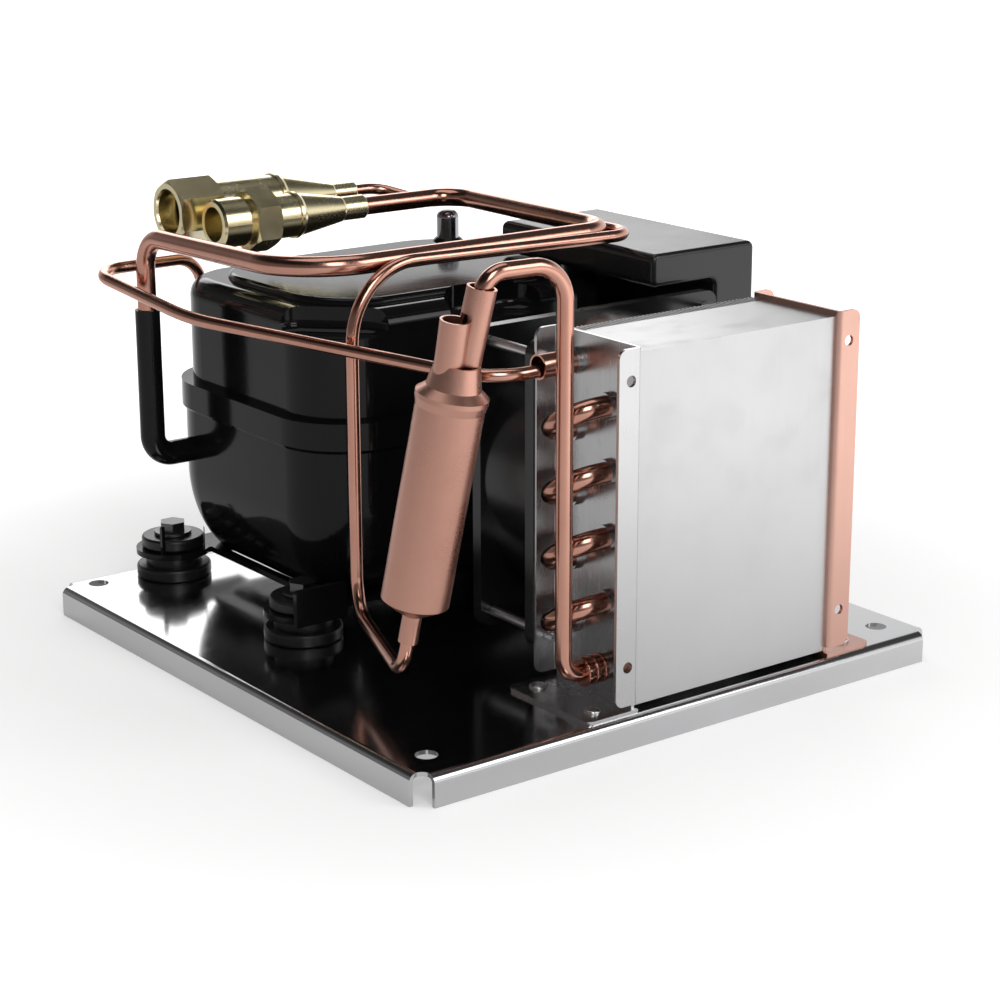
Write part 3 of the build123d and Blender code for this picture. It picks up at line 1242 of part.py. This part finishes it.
def make_fan_shaft():
    """The steel shaft pressed into the hub's boss."""
    return fan_disc(FAN_SHAFT / 2, FAN_FRONT_Y + 3.0 + FAN_HUB_WALL, FAN_BACK_Y - 3.0)


def make_fan_bearings():
    """Two sleeve bearings in the frame's tube."""
    bearings = []
    for y0 in (FAN_FRONT_Y + 10.0, FAN_BACK_Y - 9.0):
        outer = fan_disc(FAN_BEARING / 2, y0, y0 + 5.0)
        bearings.append(outer - fan_disc(FAN_SHAFT / 2 + RUNNING_FIT, y0 - 1, y0 + 6))
    return bearings


def make_fan_stator():
    """The wound core round the bearing tube: four poles under the rotor's magnet ring."""
    y0 = FAN_FRONT_Y + 11.0
    y1 = FAN_BACK_Y - 9.0
    core = fan_disc(9.0, y0, y1) - fan_disc(5.6 + 0.0, y0 - 1, y1 + 1)
    for i in range(4):
        arm = block(FAN_X + 6.5, FAN_X + 17.0, y0 + 2, y1 - 2, FAN_Z - 3.5, FAN_Z + 3.5)
        shoe = fan_disc(19.0, y0 + 2, y1 - 2) - fan_disc(16.5, y0, y1)
        shoe = shoe & block(FAN_X + 10, FAN_X + 20, y0, y1, FAN_Z - 9, FAN_Z + 9)
        core += (arm + shoe).rotate(Axis((FAN_X, 0, FAN_Z), (0, 1, 0)), 45 + 90 * i)
    return core


def make_magnet_ring():
    """The ring magnet glued inside the hub."""
    outer = FAN_HUB / 2 - FAN_HUB_WALL
    y0 = FAN_FRONT_Y + 10.0
    y1 = FAN_BACK_Y - FAN_FLANGE - 2.0
    return fan_disc(outer, y0, y1) - fan_disc(outer - 3.0, y0 - 1, y1 + 1)


def make_fan_screws():
    """Four screws through the fan's corners into the condenser's rear flanges."""
    screws = []
    for x, z in core_bolt_places():
        tip = (x, CORE_FRONT_Y + CORE_DEPTH - PLATE_SHEET - 5.0, z)
        shank = rod(tip, (x, FAN_BACK_Y, z), FAN_SCREW / 2)
        head = rod((x, FAN_BACK_Y, z), (x, FAN_BACK_Y + 2.6, z), FAN_SCREW_HEAD / 2)
        head = fillet(head.faces().sort_by(Axis.Y)[-1].edges(), 1.2)
        slot = block(x - 3, x + 3, FAN_BACK_Y + 1.4, FAN_BACK_Y + 3, z - 0.5, z + 0.5)
        screws.append(shank + head - slot - slot.rotate(Axis((x, 0, z), (0, 1, 0)), 90))
    return screws


# ---- build ---------------------------------------------------------------------------------------

save("base_plate", make_base_plate())
save("condenser_left_plate", make_end_plate(-1))
save("condenser_right_plate", make_end_plate(1))
save("fin_pack", make_fin_pack())
save("hairpin_tubes", *make_hairpins())
save("return_bends", *make_return_bends())
save("inlet_socket", make_inlet_socket())
save("outlet_sleeve", make_outlet_sleeve())
save("condenser_rivets", *make_rivets())
save("filter_drier", make_drier())
save("desiccant_core", make_desiccant())
save("drier_screens", *make_drier_screens())
save("outlet_line", make_outlet_line())
save("liquid_line", make_liquid_line())
save("discharge_line", make_discharge_line())
save("suction_line", make_suction_line())
save("suction_stub", make_suction_stub())
save("discharge_stub", make_discharge_stub())
save("suction_coupling_body", make_male_body())
save("suction_coupling_tail", make_tail(MALE_MOUTH_X, MALE_STEPS, MALE_Y, MALE_Z,
                                        MALE_THREAD / 2 - 1.0, SUCTION_FERRULE, LINE_SUCTION))
save("suction_valve", make_valve(MALE_MOUTH_X, MALE_STEPS["thread"] + VALVE_SET_BACK, MALE_Y, MALE_Z, 21.0))
save("liquid_coupling_body", make_female_body())
save("liquid_coupling_tail", make_tail(FEMALE_MOUTH_X, FEMALE_STEPS, FEMALE_Y, FEMALE_Z,
                                       FEMALE_HEX / 2 - 1.0, LIQUID_FERRULE, LINE_SMALL))
save("liquid_valve", make_valve(FEMALE_MOUTH_X, NUT_THREAD_LENGTH + 3 * VALVE_SET_BACK,
                                FEMALE_Y, FEMALE_Z, 31.5))
save("liquid_swivel_nut", make_swivel_nut())
save("compressor_lower_shell", make_lower_shell())
save("compressor_upper_shell", make_upper_shell())
save("process_tube", make_process_tube())
save("motor_stator", make_motor_stator())
save("motor_rotor", make_motor_rotor())
save("crankshaft", make_crankshaft())
save("cylinder_block", make_cylinder_block())
save("piston", make_piston())
save("connecting_rod", make_connecting_rod())
save("valve_plate", make_valve_plate())
save("cylinder_head", make_cylinder_head())
save("suspension_springs", *make_suspension_springs())
save("left_foot_bracket", make_foot_bracket(-1))
save("right_foot_bracket", make_foot_bracket(1))
save("foot_grommets", *make_grommets())
save("foot_sleeves", *make_sleeves())
save("foot_washers", *make_washers())
save("foot_bolts", *make_foot_bolts())
save("foot_nuts", *make_foot_nuts())
save("control_box_cover", make_box_cover())
save("control_box_back", make_box_back())
save("circuit_board", make_circuit_board())
save("terminal_block", make_terminal_block())
save("fan_frame", make_fan_frame())
save("fan_rotor", make_fan_rotor())
save("fan_magnet_ring", make_magnet_ring())
save("fan_shaft", make_fan_shaft())
save("fan_bearings", *make_fan_bearings())
save("fan_stator", make_fan_stator())
save("fan_screws", *make_fan_screws())
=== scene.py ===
"""A refrigeration condensing unit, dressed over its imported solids."""

from math import pi, radians

import bpy
import numpy as np
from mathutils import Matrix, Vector


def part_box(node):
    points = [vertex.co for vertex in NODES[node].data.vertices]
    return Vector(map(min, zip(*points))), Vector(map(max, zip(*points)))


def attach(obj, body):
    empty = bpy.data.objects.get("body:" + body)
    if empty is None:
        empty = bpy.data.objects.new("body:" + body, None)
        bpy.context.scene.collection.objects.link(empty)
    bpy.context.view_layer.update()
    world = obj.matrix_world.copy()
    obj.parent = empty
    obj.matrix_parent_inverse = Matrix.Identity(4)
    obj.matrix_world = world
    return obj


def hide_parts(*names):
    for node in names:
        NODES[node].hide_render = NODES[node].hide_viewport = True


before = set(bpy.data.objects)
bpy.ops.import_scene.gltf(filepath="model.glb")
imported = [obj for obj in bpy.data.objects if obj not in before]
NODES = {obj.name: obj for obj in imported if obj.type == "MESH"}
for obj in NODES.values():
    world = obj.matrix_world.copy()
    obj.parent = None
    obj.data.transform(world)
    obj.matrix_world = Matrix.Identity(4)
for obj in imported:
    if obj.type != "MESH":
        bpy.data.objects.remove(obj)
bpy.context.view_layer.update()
MM = 0.001


# ---- small helpers for node materials ------------------------------------------------------------

class Finish:
    """A material's node tree with one Principled shader, and short calls for the patterns on it."""

    def __init__(self, name, **sockets):
        self.material = bpy.data.materials.new(name)
        self.material.use_nodes = True
        self.tree = self.material.node_tree
        self.shader = self.tree.nodes["Principled BSDF"]
        for socket, value in sockets.items():
            self.shader.inputs[socket.replace("_", " ")].default_value = value
        self.place = self.node("ShaderNodeTexCoord").outputs["Object"]

    def node(self, kind, **settings):
        made = self.tree.nodes.new(kind)
        for key, value in settings.items():
            setattr(made, key, value)
        return made

    def link(self, source, target):
        self.tree.links.new(source, target)

    def stretched(self, scale, turn=(0, 0, 0)):
        """Object coordinates, stretched so that a pattern runs along one axis, as brushing does."""
        mapping = self.node("ShaderNodeMapping")
        mapping.inputs["Scale"].default_value = scale
        mapping.inputs["Rotation"].default_value = turn
        self.link(self.place, mapping.inputs["Vector"])
        return mapping.outputs["Vector"]

    def noise(self, scale, detail=3.0, rough=0.55, place=None):
        """Cloudy noise, from 0 to 1."""
        texture = self.node("ShaderNodeTexNoise")
        texture.inputs["Scale"].default_value = scale
        texture.inputs["Detail"].default_value = detail
        texture.inputs["Roughness"].default_value = rough
        self.link(place or self.place, texture.inputs["Vector"])
        return texture.outputs["Fac"]

    def spots(self, scale, place=None):
        """Distance to the nearest of many scattered points."""
        texture = self.node("ShaderNodeTexVoronoi")
        texture.inputs["Scale"].default_value = scale
        self.link(place or self.place, texture.inputs["Vector"])
        return texture.outputs["Distance"]

    def span(self, value, low, high, to_low, to_high):
        """A value stretched from one range to another, and held inside it."""
        ramp = self.node("ShaderNodeMapRange")
        for key, number in zip(("From Min", "From Max", "To Min", "To Max"), (low, high, to_low, to_high)):
            ramp.inputs[key].default_value = number
        self.link(value, ramp.inputs["Value"])
        return ramp.outputs["Result"]

    def maths(self, kind, a, b):
        """A sum, product or other operation on two sockets or numbers."""
        step = self.node("ShaderNodeMath", operation=kind)
        for socket, value in zip(step.inputs, (a, b)):
            if isinstance(value, (int, float)):
                socket.default_value = value
            else:
                self.link(value, socket)
        return step.outputs[0]

    def tint(self, amount, low, high):
        """A colour between two, by an amount from 0 to 1."""
        mix = self.node("ShaderNodeMix", data_type="RGBA")
        mix.inputs["A"].default_value = (*low, 1)
        mix.inputs["B"].default_value = (*high, 1)
        self.link(amount, mix.inputs["Factor"])
        return mix.outputs["Result"]

    def colour(self, value):
        self.link(value, self.shader.inputs["Base Color"])

    def roughness(self, value):
        self.link(value, self.shader.inputs["Roughness"])

    def bump(self, height, strength, distance):
        """Relief from a height. Several are chained, one under the other."""
        bump = self.node("ShaderNodeBump")
        bump.inputs["Strength"].default_value = strength
        bump.inputs["Distance"].default_value = distance
        self.link(height, bump.inputs["Height"])
        normal = self.shader.inputs["Normal"]
        if normal.is_linked:
            self.link(normal.links[0].from_socket, bump.inputs["Normal"])
        self.link(bump.outputs["Normal"], normal)


# ---- finishes ------------------------------------------------------------------------------------

def sheet_metal(name, light, dark, grain, rough, direction, relief=0.05):
    """Rolled sheet: a fine grain in one direction, cloudy tone, and a few handling smears."""
    f = Finish(name, Metallic=1.0)
    stretch = {"x": (2, 90, 90), "y": (90, 2, 90), "z": (90, 90, 2)}[direction]
    lines = f.noise(grain, 4.0, 0.7, f.stretched(stretch))
    clouds = f.noise(14.0, 4.0, 0.6)
    smears = f.noise(55.0, 2.0, 0.5, f.stretched((1.0, 2.4, 1.3), (0.4, 0.7, 0.2)))
    f.colour(f.tint(f.span(clouds, 0.3, 0.7, 0, 1), dark, light))
    base = f.span(lines, 0.25, 0.75, rough * 0.84, rough * 1.16)
    f.roughness(f.maths("ADD", base, f.span(smears, 0.5, 0.75, 0.0, rough * 0.22)))
    f.bump(lines, relief, 0.00006)
    return f.material


def drawn_tube(name, light, dark, rough):
    """Drawn copper or brass tube: nearly polished, with faint heat tint and long fine scratches."""
    f = Finish(name, Metallic=1.0)
    clouds = f.noise(38.0, 5.0, 0.6)
    fine = f.noise(900.0, 2.0, 0.5)
    f.colour(f.tint(f.span(clouds, 0.32, 0.68, 0, 1), dark, light))
    broad = f.span(clouds, 0.3, 0.7, rough * 0.8, rough * 1.25)
    f.roughness(f.maths("ADD", broad, f.span(fine, 0.4, 0.8, 0, rough * 0.2)))
    f.bump(f.noise(210.0, 3.0, 0.6), 0.03, 0.0001)
    return f.material


def gloss_enamel(name, shade, rough, peel, coat=0.0):
    """Baked enamel: a deep coat with slight orange peel and dust-fine specks in its gloss."""
    f = Finish(name, Metallic=0.0, Coat_Weight=coat, Coat_Roughness=0.04, Specular_IOR_Level=0.22)
    clouds = f.noise(26.0, 3.0, 0.5)
    f.colour(f.tint(f.span(clouds, 0.3, 0.7, 0, 1), [c * 0.8 for c in shade], [c * 1.2 for c in shade]))
    dust = f.span(f.spots(620.0), 0.0, 0.12, 1.0, 0.0)
    broad = f.span(clouds, 0.3, 0.7, rough * 0.85, rough * 1.15)
    f.roughness(f.maths("ADD", broad, f.maths("MULTIPLY", dust, 0.05)))
    f.bump(f.noise(330.0, 2.0, 0.4), peel, 0.00025)
    return f.material


def moulded(name, shade, rough, grain, relief):
    """Moulded plastic or rubber: a fine spark texture and a slight sheen change."""
    f = Finish(name, Metallic=0.0)
    clouds = f.noise(30.0, 3.0, 0.5)
    texture = f.noise(grain, 2.0, 0.6)
    f.colour(f.tint(f.span(clouds, 0.3, 0.7, 0, 1), [c * 0.85 for c in shade], [c * 1.2 for c in shade]))
    f.roughness(f.span(clouds, 0.3, 0.7, rough * 0.88, rough * 1.12))
    f.bump(texture, relief, 0.0001)
    return f.material


def cast_iron(name, shade, rough):
    """Cast iron with a sandy skin."""
    f = Finish(name, Metallic=1.0)
    sand = f.noise(420.0, 4.0, 0.7)
    f.colour(f.tint(f.span(sand, 0.3, 0.7, 0, 1), [c * 0.7 for c in shade], shade))
    f.roughness(f.span(sand, 0.3, 0.7, rough * 0.8, rough * 1.2))
    f.bump(sand, 0.3, 0.0003)
    return f.material


def winding_wire(name):
    """Enamelled copper wire, wound in tight turns, with painted shade: dark in the grooves between turns,
    light on their crowns.
    """
    f = Finish(name, Metallic=1.0, Coat_Weight=0.6)
    wave = f.node("ShaderNodeTexWave", wave_type="BANDS", bands_direction="Z")
    wave.inputs["Scale"].default_value = 260.0
    wave.inputs["Distortion"].default_value = 1.2
    f.link(f.place, wave.inputs["Vector"])
    # Painted shade: dark where the bands dip between turns, light on the raised turns.
    f.colour(f.tint(wave.outputs["Fac"], (0.30, 0.10, 0.04), (0.72, 0.33, 0.15)))
    f.roughness(f.span(f.noise(80.0), 0.3, 0.7, 0.25, 0.4))
    f.bump(wave.outputs["Fac"], 0.5, 0.0003)
    return f.material


def beads(name):
    """Packed ceramic beads, with painted shade between them: pale at each bead's centre, dark brown at its
    rim.
    """
    f = Finish(name)
    distance = f.spots(380.0)
    # Painted shade: the colour darkens from each bead's centre to its rim, where it meets the next bead.
    f.colour(f.tint(f.span(distance, 0.0, 0.6, 0, 1), (0.86, 0.80, 0.68), (0.45, 0.40, 0.32)))
    f.roughness(f.span(distance, 0.0, 0.6, 0.5, 0.8))
    f.bump(f.span(distance, 0.0, 0.6, 1.0, 0.0), 0.8, 0.001)
    return f.material


FINISHES = {
    "base": sheet_metal("base_sheet", (0.66, 0.66, 0.67), (0.62, 0.62, 0.63), 20.0, 0.13, "x", 0.015),
    "core": sheet_metal("core_sheet", (0.58, 0.58, 0.585), (0.54, 0.54, 0.545), 24.0, 0.36, "z", 0.05),
    "silver": sheet_metal("silver_plate", (0.56, 0.56, 0.565), (0.54, 0.54, 0.545), 6.0, 0.24, "z", 0.01),
    "copper_plate": sheet_metal("copper_plate", (0.66, 0.40, 0.33), (0.62, 0.37, 0.30), 6.0, 0.30, "z", 0.01),
    "copper": drawn_tube("drawn_copper", (0.64, 0.34, 0.26), (0.56, 0.28, 0.21), 0.17),
    "satin_copper": drawn_tube("satin_copper", (0.62, 0.34, 0.265), (0.55, 0.29, 0.225), 0.30),
    "brass": drawn_tube("machined_brass", (0.88, 0.79, 0.52), (0.80, 0.70, 0.42), 0.22),
    "enamel": gloss_enamel("black_enamel", (0.006, 0.006, 0.0065), 0.10, 0.05),
    "box": moulded("black_moulding", (0.009, 0.009, 0.0095), 0.26, 900.0, 0.08),
    "fan": moulded("fan_moulding", (0.007, 0.007, 0.0075), 0.20, 800.0, 0.06),
    "rubber": moulded("black_rubber", (0.008, 0.008, 0.008), 0.34, 500.0, 0.10),
    "dark_zinc": drawn_tube("dark_zinc", (0.16, 0.16, 0.165), (0.10, 0.10, 0.105), 0.3),
    "dark_chrome": drawn_tube("dark_chrome", (0.34, 0.34, 0.36), (0.24, 0.24, 0.26), 0.14),
    "zinc": drawn_tube("zinc_plate", (0.70, 0.70, 0.71), (0.56, 0.56, 0.57), 0.28),
    "iron": cast_iron("cast_iron", (0.30, 0.30, 0.31), 0.45),
    "magnet": cast_iron("sintered_magnet", (0.12, 0.12, 0.13), 0.5),
    "winding": winding_wire("winding_wire"),
    "beads": beads("desiccant_beads"),
    "board": moulded("circuit_laminate", (0.03, 0.16, 0.07), 0.4, 600.0, 0.1),
}

WEARS = {
    "base": ["base_plate"],
    "core": ["fin_pack"],
    "silver": ["condenser_left_plate"],
    "copper_plate": ["condenser_right_plate"],
    "copper": ["hairpin_tubes", "return_bends", "inlet_socket", "outlet_sleeve", "outlet_line", "liquid_line",
               "discharge_line", "suction_line"],
    "satin_copper": ["filter_drier"],
    "brass": ["suction_coupling_body", "suction_coupling_tail", "suction_valve", "liquid_coupling_body",
              "liquid_coupling_tail", "liquid_valve", "liquid_swivel_nut", "drier_screens", "fan_bearings"],
    "enamel": ["compressor_lower_shell", "compressor_upper_shell", "suction_stub", "discharge_stub",
               "left_foot_bracket", "right_foot_bracket"],
    "box": ["control_box_cover", "control_box_back", "terminal_block"],
    "fan": ["fan_frame", "fan_rotor"],
    "rubber": ["foot_grommets"],
    "dark_chrome": ["process_tube"],
    "dark_zinc": ["foot_sleeves", "foot_washers", "foot_bolts", "foot_nuts"],
    "zinc": ["condenser_rivets", "fan_shaft", "fan_screws",
             "suspension_springs", "valve_plate"],
    "iron": ["motor_rotor", "crankshaft", "cylinder_block", "piston", "connecting_rod", "cylinder_head"],
    "magnet": ["fan_magnet_ring"],
    "winding": ["fan_stator", "motor_stator"],
    "beads": ["desiccant_core"],
    "board": ["circuit_board"],
}
for finish, names in WEARS.items():
    for name in names:
        mesh = NODES[name].data
        mesh.materials.clear()
        mesh.materials.append(FINISHES[finish])


# ---- pieces that the plain solids leave to the eye -----------------------------------------------

def grid_piece(name, points, finish, body):
    """A mesh from a grid of points[v, u]: rings along v, joined round u, with flat end caps."""
    rows, columns = points.shape[:2]
    u = np.arange(columns)
    v = np.arange(rows - 1)[:, None] * columns
    quads = np.stack([v + u, v + (u + 1) % columns, v + columns + (u + 1) % columns, v + columns + u], -1)
    faces = quads.reshape(-1, 4).tolist()
    faces.append(list(range(columns))[::-1])
    faces.append(list(range((rows - 1) * columns, rows * columns)))
    mesh = bpy.data.meshes.new(name)
    mesh.from_pydata(points.reshape(-1, 3).tolist(), [], faces)
    mesh.shade_smooth()
    mesh.materials.append(FINISHES[finish])
    mesh.set_sharp_from_angle(angle=radians(40))
    piece = bpy.data.objects.new(name, mesh)
    bpy.context.scene.collection.objects.link(piece)
    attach(piece, body)
    return piece


def make_fin_block():
    """The core between its plates: a flat face set back from their flanges, and fins behind.

    The back edge is a square wave in x: y = back for the first part of each pitch, else back - deep.
    """
    low, high = (np.array(corner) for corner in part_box("fin_pack"))
    set_back, set_down = 2.6 * MM, 2.2 * MM
    front, top = low[1] + set_back, high[2] - set_down
    deep, pitch, sheet = 7.0 * MM, 2.0 * MM, 0.5 * MM
    starts = np.arange(high[0] - sheet, low[0] + pitch, -pitch)
    x = np.stack([starts + sheet, starts, starts, starts - pitch + sheet], -1).ravel()
    y = np.tile([high[1], high[1], high[1] - deep, high[1] - deep], len(starts))
    outline = np.concatenate([[(low[0], front), (high[0], front)], np.stack([x, y], -1),
                              [(low[0], high[1] - deep)]])
    height = np.broadcast_to(np.array([low[2], top])[:, None, None], (2, len(outline), 1))
    points = np.concatenate([np.broadcast_to(outline, (2, *outline.shape)), height], -1)
    piece = grid_piece("fin_block", points, "core", "unit")
    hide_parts("fin_pack")


def make_lower_shell():
    """The deep-drawn lower half: a rounded slab whose sides curve in to a narrower floor.

    At height z the outline is the rim's, moved inwards by w(z) = W*(1 - sqrt(1 - q^2)), with
    q the share of the bowl's height still to rise.
    """
    low, high = (np.array(corner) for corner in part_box("compressor_lower_shell"))
    centre = (low + high) / 2
    lap, lap_height = 1.6 * MM, 12.7 * MM
    half = (high - low)[:2] / 2 - lap
    bowl, corner, narrowing = 42 * MM, 30 * MM, 26 * MM
    nearly_flat, rings = pi / 2 * 0.985, 28
    q = np.sin(np.linspace(nearly_flat, 0, rings))
    wall = narrowing * (1 - np.sqrt(1 - q * q))
    height = low[2] + bowl * (1 - q)
    rim = high[2] - lap_height
    height = np.concatenate([height, [rim, rim + lap, high[2]]])
    inset = np.concatenate([wall, [0, -lap, -lap]])
    around = 160
    a = np.linspace(0, 2 * pi, around, endpoint=False) + pi / around
    turn = np.stack([np.cos(a), np.sin(a)], -1)
    flat = np.sign(turn) * (half - corner)
    outline = flat[None] + turn[None] * (corner - inset)[:, None, None]
    levels = np.broadcast_to(height[:, None, None], (*outline.shape[:2], 1))
    points = np.concatenate([centre[:2] + outline, levels], -1)
    piece = grid_piece("compressor_bowl", points, "enamel", "unit")
    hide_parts("compressor_lower_shell")


make_fin_block()
make_lower_shell()


# ---- floor, light and camera --------------------------------------------------------------------

def painted_side_shade(tree, place, reach):
    """Painted shade for all rays but camera rays: full (1) on the side of the lamps, +x, falling to 0.16 on
    the left, -x, by a place's x; camera rays get 1.
    """
    parts = tree.nodes.new("ShaderNodeSeparateXYZ")
    tree.links.new(place, parts.inputs[0])
    share = tree.nodes.new("ShaderNodeMapRange")
    share.interpolation_type = "SMOOTHSTEP"
    for key, value in zip(("From Min", "From Max", "To Min", "To Max"), (-reach, reach, 0.16, 1.0)):
        share.inputs[key].default_value = value
    tree.links.new(parts.outputs["X"], share.inputs["Value"])
    # Camera rays get 1; every other ray gets the painted side shade.
    path = tree.nodes.new("ShaderNodeLightPath")
    mix = tree.nodes.new("ShaderNodeMix")
    mix.data_type = "FLOAT"
    tree.links.new(path.outputs["Is Camera Ray"], mix.inputs["Factor"])
    tree.links.new(share.outputs["Result"], mix.inputs["A"])
    mix.inputs["B"].default_value = 1.0
    return mix.outputs["Result"]


def product(tree, a, b):
    """Two values multiplied."""
    step = tree.nodes.new("ShaderNodeMath")
    step.operation = "MULTIPLY"
    tree.links.new(a, step.inputs[0])
    tree.links.new(b, step.inputs[1])
    return step.outputs[0]


def seen_ray(tree):
    """1 for a ray that sees the surroundings directly, in a mirror or through glass."""
    path = tree.nodes.new("ShaderNodeLightPath")
    total = None
    for name in ("Is Camera Ray", "Is Glossy Ray", "Is Transmission Ray"):
        if total is None:
            total = path.outputs[name]
            continue
        add = tree.nodes.new("ShaderNodeMath")
        add.operation = "MAXIMUM"
        tree.links.new(total, add.inputs[0])
        tree.links.new(path.outputs[name], add.inputs[1])
        total = add.outputs[0]
    return total


def make_floor():
    """A pale floor: lit like paper, and lifted to white away from the object, so only the shadow shows. The
    lift is weaker near the object, which paints the floor round it a little darker, and in reflections the
    lift is painted darker towards -x.
    """
    size = 5.0
    mesh = bpy.data.meshes.new("floor")
    corners = [(-size, -size, 0), (size, -size, 0), (size, size, 0), (-size, size, 0)]
    mesh.from_pydata(corners, [], [(0, 1, 2, 3)])
    floor = bpy.data.objects.new("floor", mesh)
    bpy.context.scene.collection.objects.link(floor)
    material = bpy.data.materials.new("pale_floor")
    material.use_nodes = True
    tree = material.node_tree
    shader = tree.nodes["Principled BSDF"]
    shader.inputs["Base Color"].default_value = (0.72, 0.72, 0.72, 1)
    shader.inputs["Roughness"].default_value = 0.9
    shader.inputs["Specular IOR Level"].default_value = 0.0
    shader.inputs["Emission Color"].default_value = (1, 1, 1, 1)
    lift = tree.nodes.new("ShaderNodeMath")
    lift.operation = "MULTIPLY"
    tree.links.new(seen_ray(tree), lift.inputs[0])
    place = tree.nodes.new("ShaderNodeTexCoord").outputs["Object"]
    distance = tree.nodes.new("ShaderNodeVectorMath")
    distance.operation = "LENGTH"
    tree.links.new(place, distance.inputs[0])
    # The lift is weaker near the object, 0.38 within 0.16 m and rising to 1 at 0.6 m: painted shade round the
    # object.
    fade = tree.nodes.new("ShaderNodeMapRange")
    fade.interpolation_type = "SMOOTHSTEP"
    for key, value in zip(("From Min", "From Max", "To Min", "To Max"), (0.16, 0.6, 0.38, 1.0)):
        fade.inputs[key].default_value = value
    tree.links.new(distance.outputs["Value"], fade.inputs["Value"])
    tree.links.new(fade.outputs["Result"], lift.inputs[1])
    # In reflections the lift is also painted darker towards -x; camera rays see it unchanged.
    shaded = product(tree, lift.outputs[0], painted_side_shade(tree, place, 0.35))
    tree.links.new(shaded, shader.inputs["Emission Strength"])
    mesh.materials.append(material)


def make_world():
    """White at eye level, as the backdrop is, and dim overhead, where the lamps hang. Camera, glossy and
    transmission rays see this, and in reflections it is also painted darker towards -x; the light it casts is
    an even 0.40.
    """
    world = bpy.data.worlds.new("studio")
    bpy.context.scene.world = world
    world.use_nodes = True
    tree = world.node_tree
    background = tree.nodes["Background"]
    place = tree.nodes.new("ShaderNodeTexCoord").outputs["Generated"]
    parts = tree.nodes.new("ShaderNodeSeparateXYZ")
    tree.links.new(place, parts.inputs[0])
    # Dim overhead for seen rays only: painted shade in reflections, while lighting rays get an even 0.40.
    height = tree.nodes.new("ShaderNodeMapRange")
    height.interpolation_type = "SMOOTHSTEP"
    for key, value in zip(("From Min", "From Max", "To Min", "To Max"), (0.25, 0.6, 1.0, 0.06)):
        height.inputs[key].default_value = value
    tree.links.new(parts.outputs["Z"], height.inputs["Value"])
    mix = tree.nodes.new("ShaderNodeMix")
    mix.data_type = "FLOAT"
    tree.links.new(seen_ray(tree), mix.inputs["Factor"])
    mix.inputs["A"].default_value = 0.40
    # In reflections the sky is painted darker towards -x as well; camera rays are left unchanged.
    tree.links.new(product(tree, height.outputs["Result"], painted_side_shade(tree, place, 0.7)), mix.inputs["B"])
    tree.links.new(mix.outputs["Result"], background.inputs["Strength"])
    background.inputs["Color"].default_value = (1, 1, 1, 1)


def softbox(name, place, target, size, power):
    """A rectangular lamp at a place, facing a target."""
    data = bpy.data.lights.new(name, "AREA")
    data.shape = "RECTANGLE"
    data.size, data.size_y = size
    data.energy = power
    lamp = bpy.data.objects.new(name, data)
    lamp.location = place
    lamp.rotation_euler = (Vector(target) - Vector(place)).to_track_quat("-Z", "Y").to_euler()
    bpy.context.scene.collection.objects.link(lamp)


def make_camera():
    """A long lens at the height of a low table, in front of the drier's corner."""
    data = bpy.data.cameras.new("camera")
    data.lens = 87.75
    data.sensor_width = 36.0
    data.clip_start = 0.01
    camera = bpy.data.objects.new("camera", data)
    camera.location = (-0.57618, -0.77445, 0.34286)
    camera.rotation_euler = (radians(90 - 16.41), radians(0.13), radians(-37.138))
    bpy.context.scene.collection.objects.link(camera)
    bpy.context.scene.camera = camera


make_floor()
make_world()
softbox("key_lamp", (-0.45, -1.2, 1.0), (0, 0, 0.05), (0.5, 0.8), 6)
softbox("fill_lamp", (0.7, -1.2, 0.9), (0, 0, 0.05), (0.7, 0.7), 5)
softbox("top_lamp", (0.0, 0.1, 1.3), (0, 0, 0), (1.0, 0.7), 2.2)
softbox("back_lamp", (0.6, 1.2, 0.7), (0, 0, 0.1), (1.0, 0.5), 3)
make_camera()
bpy.context.scene.view_settings.view_transform = "Standard"
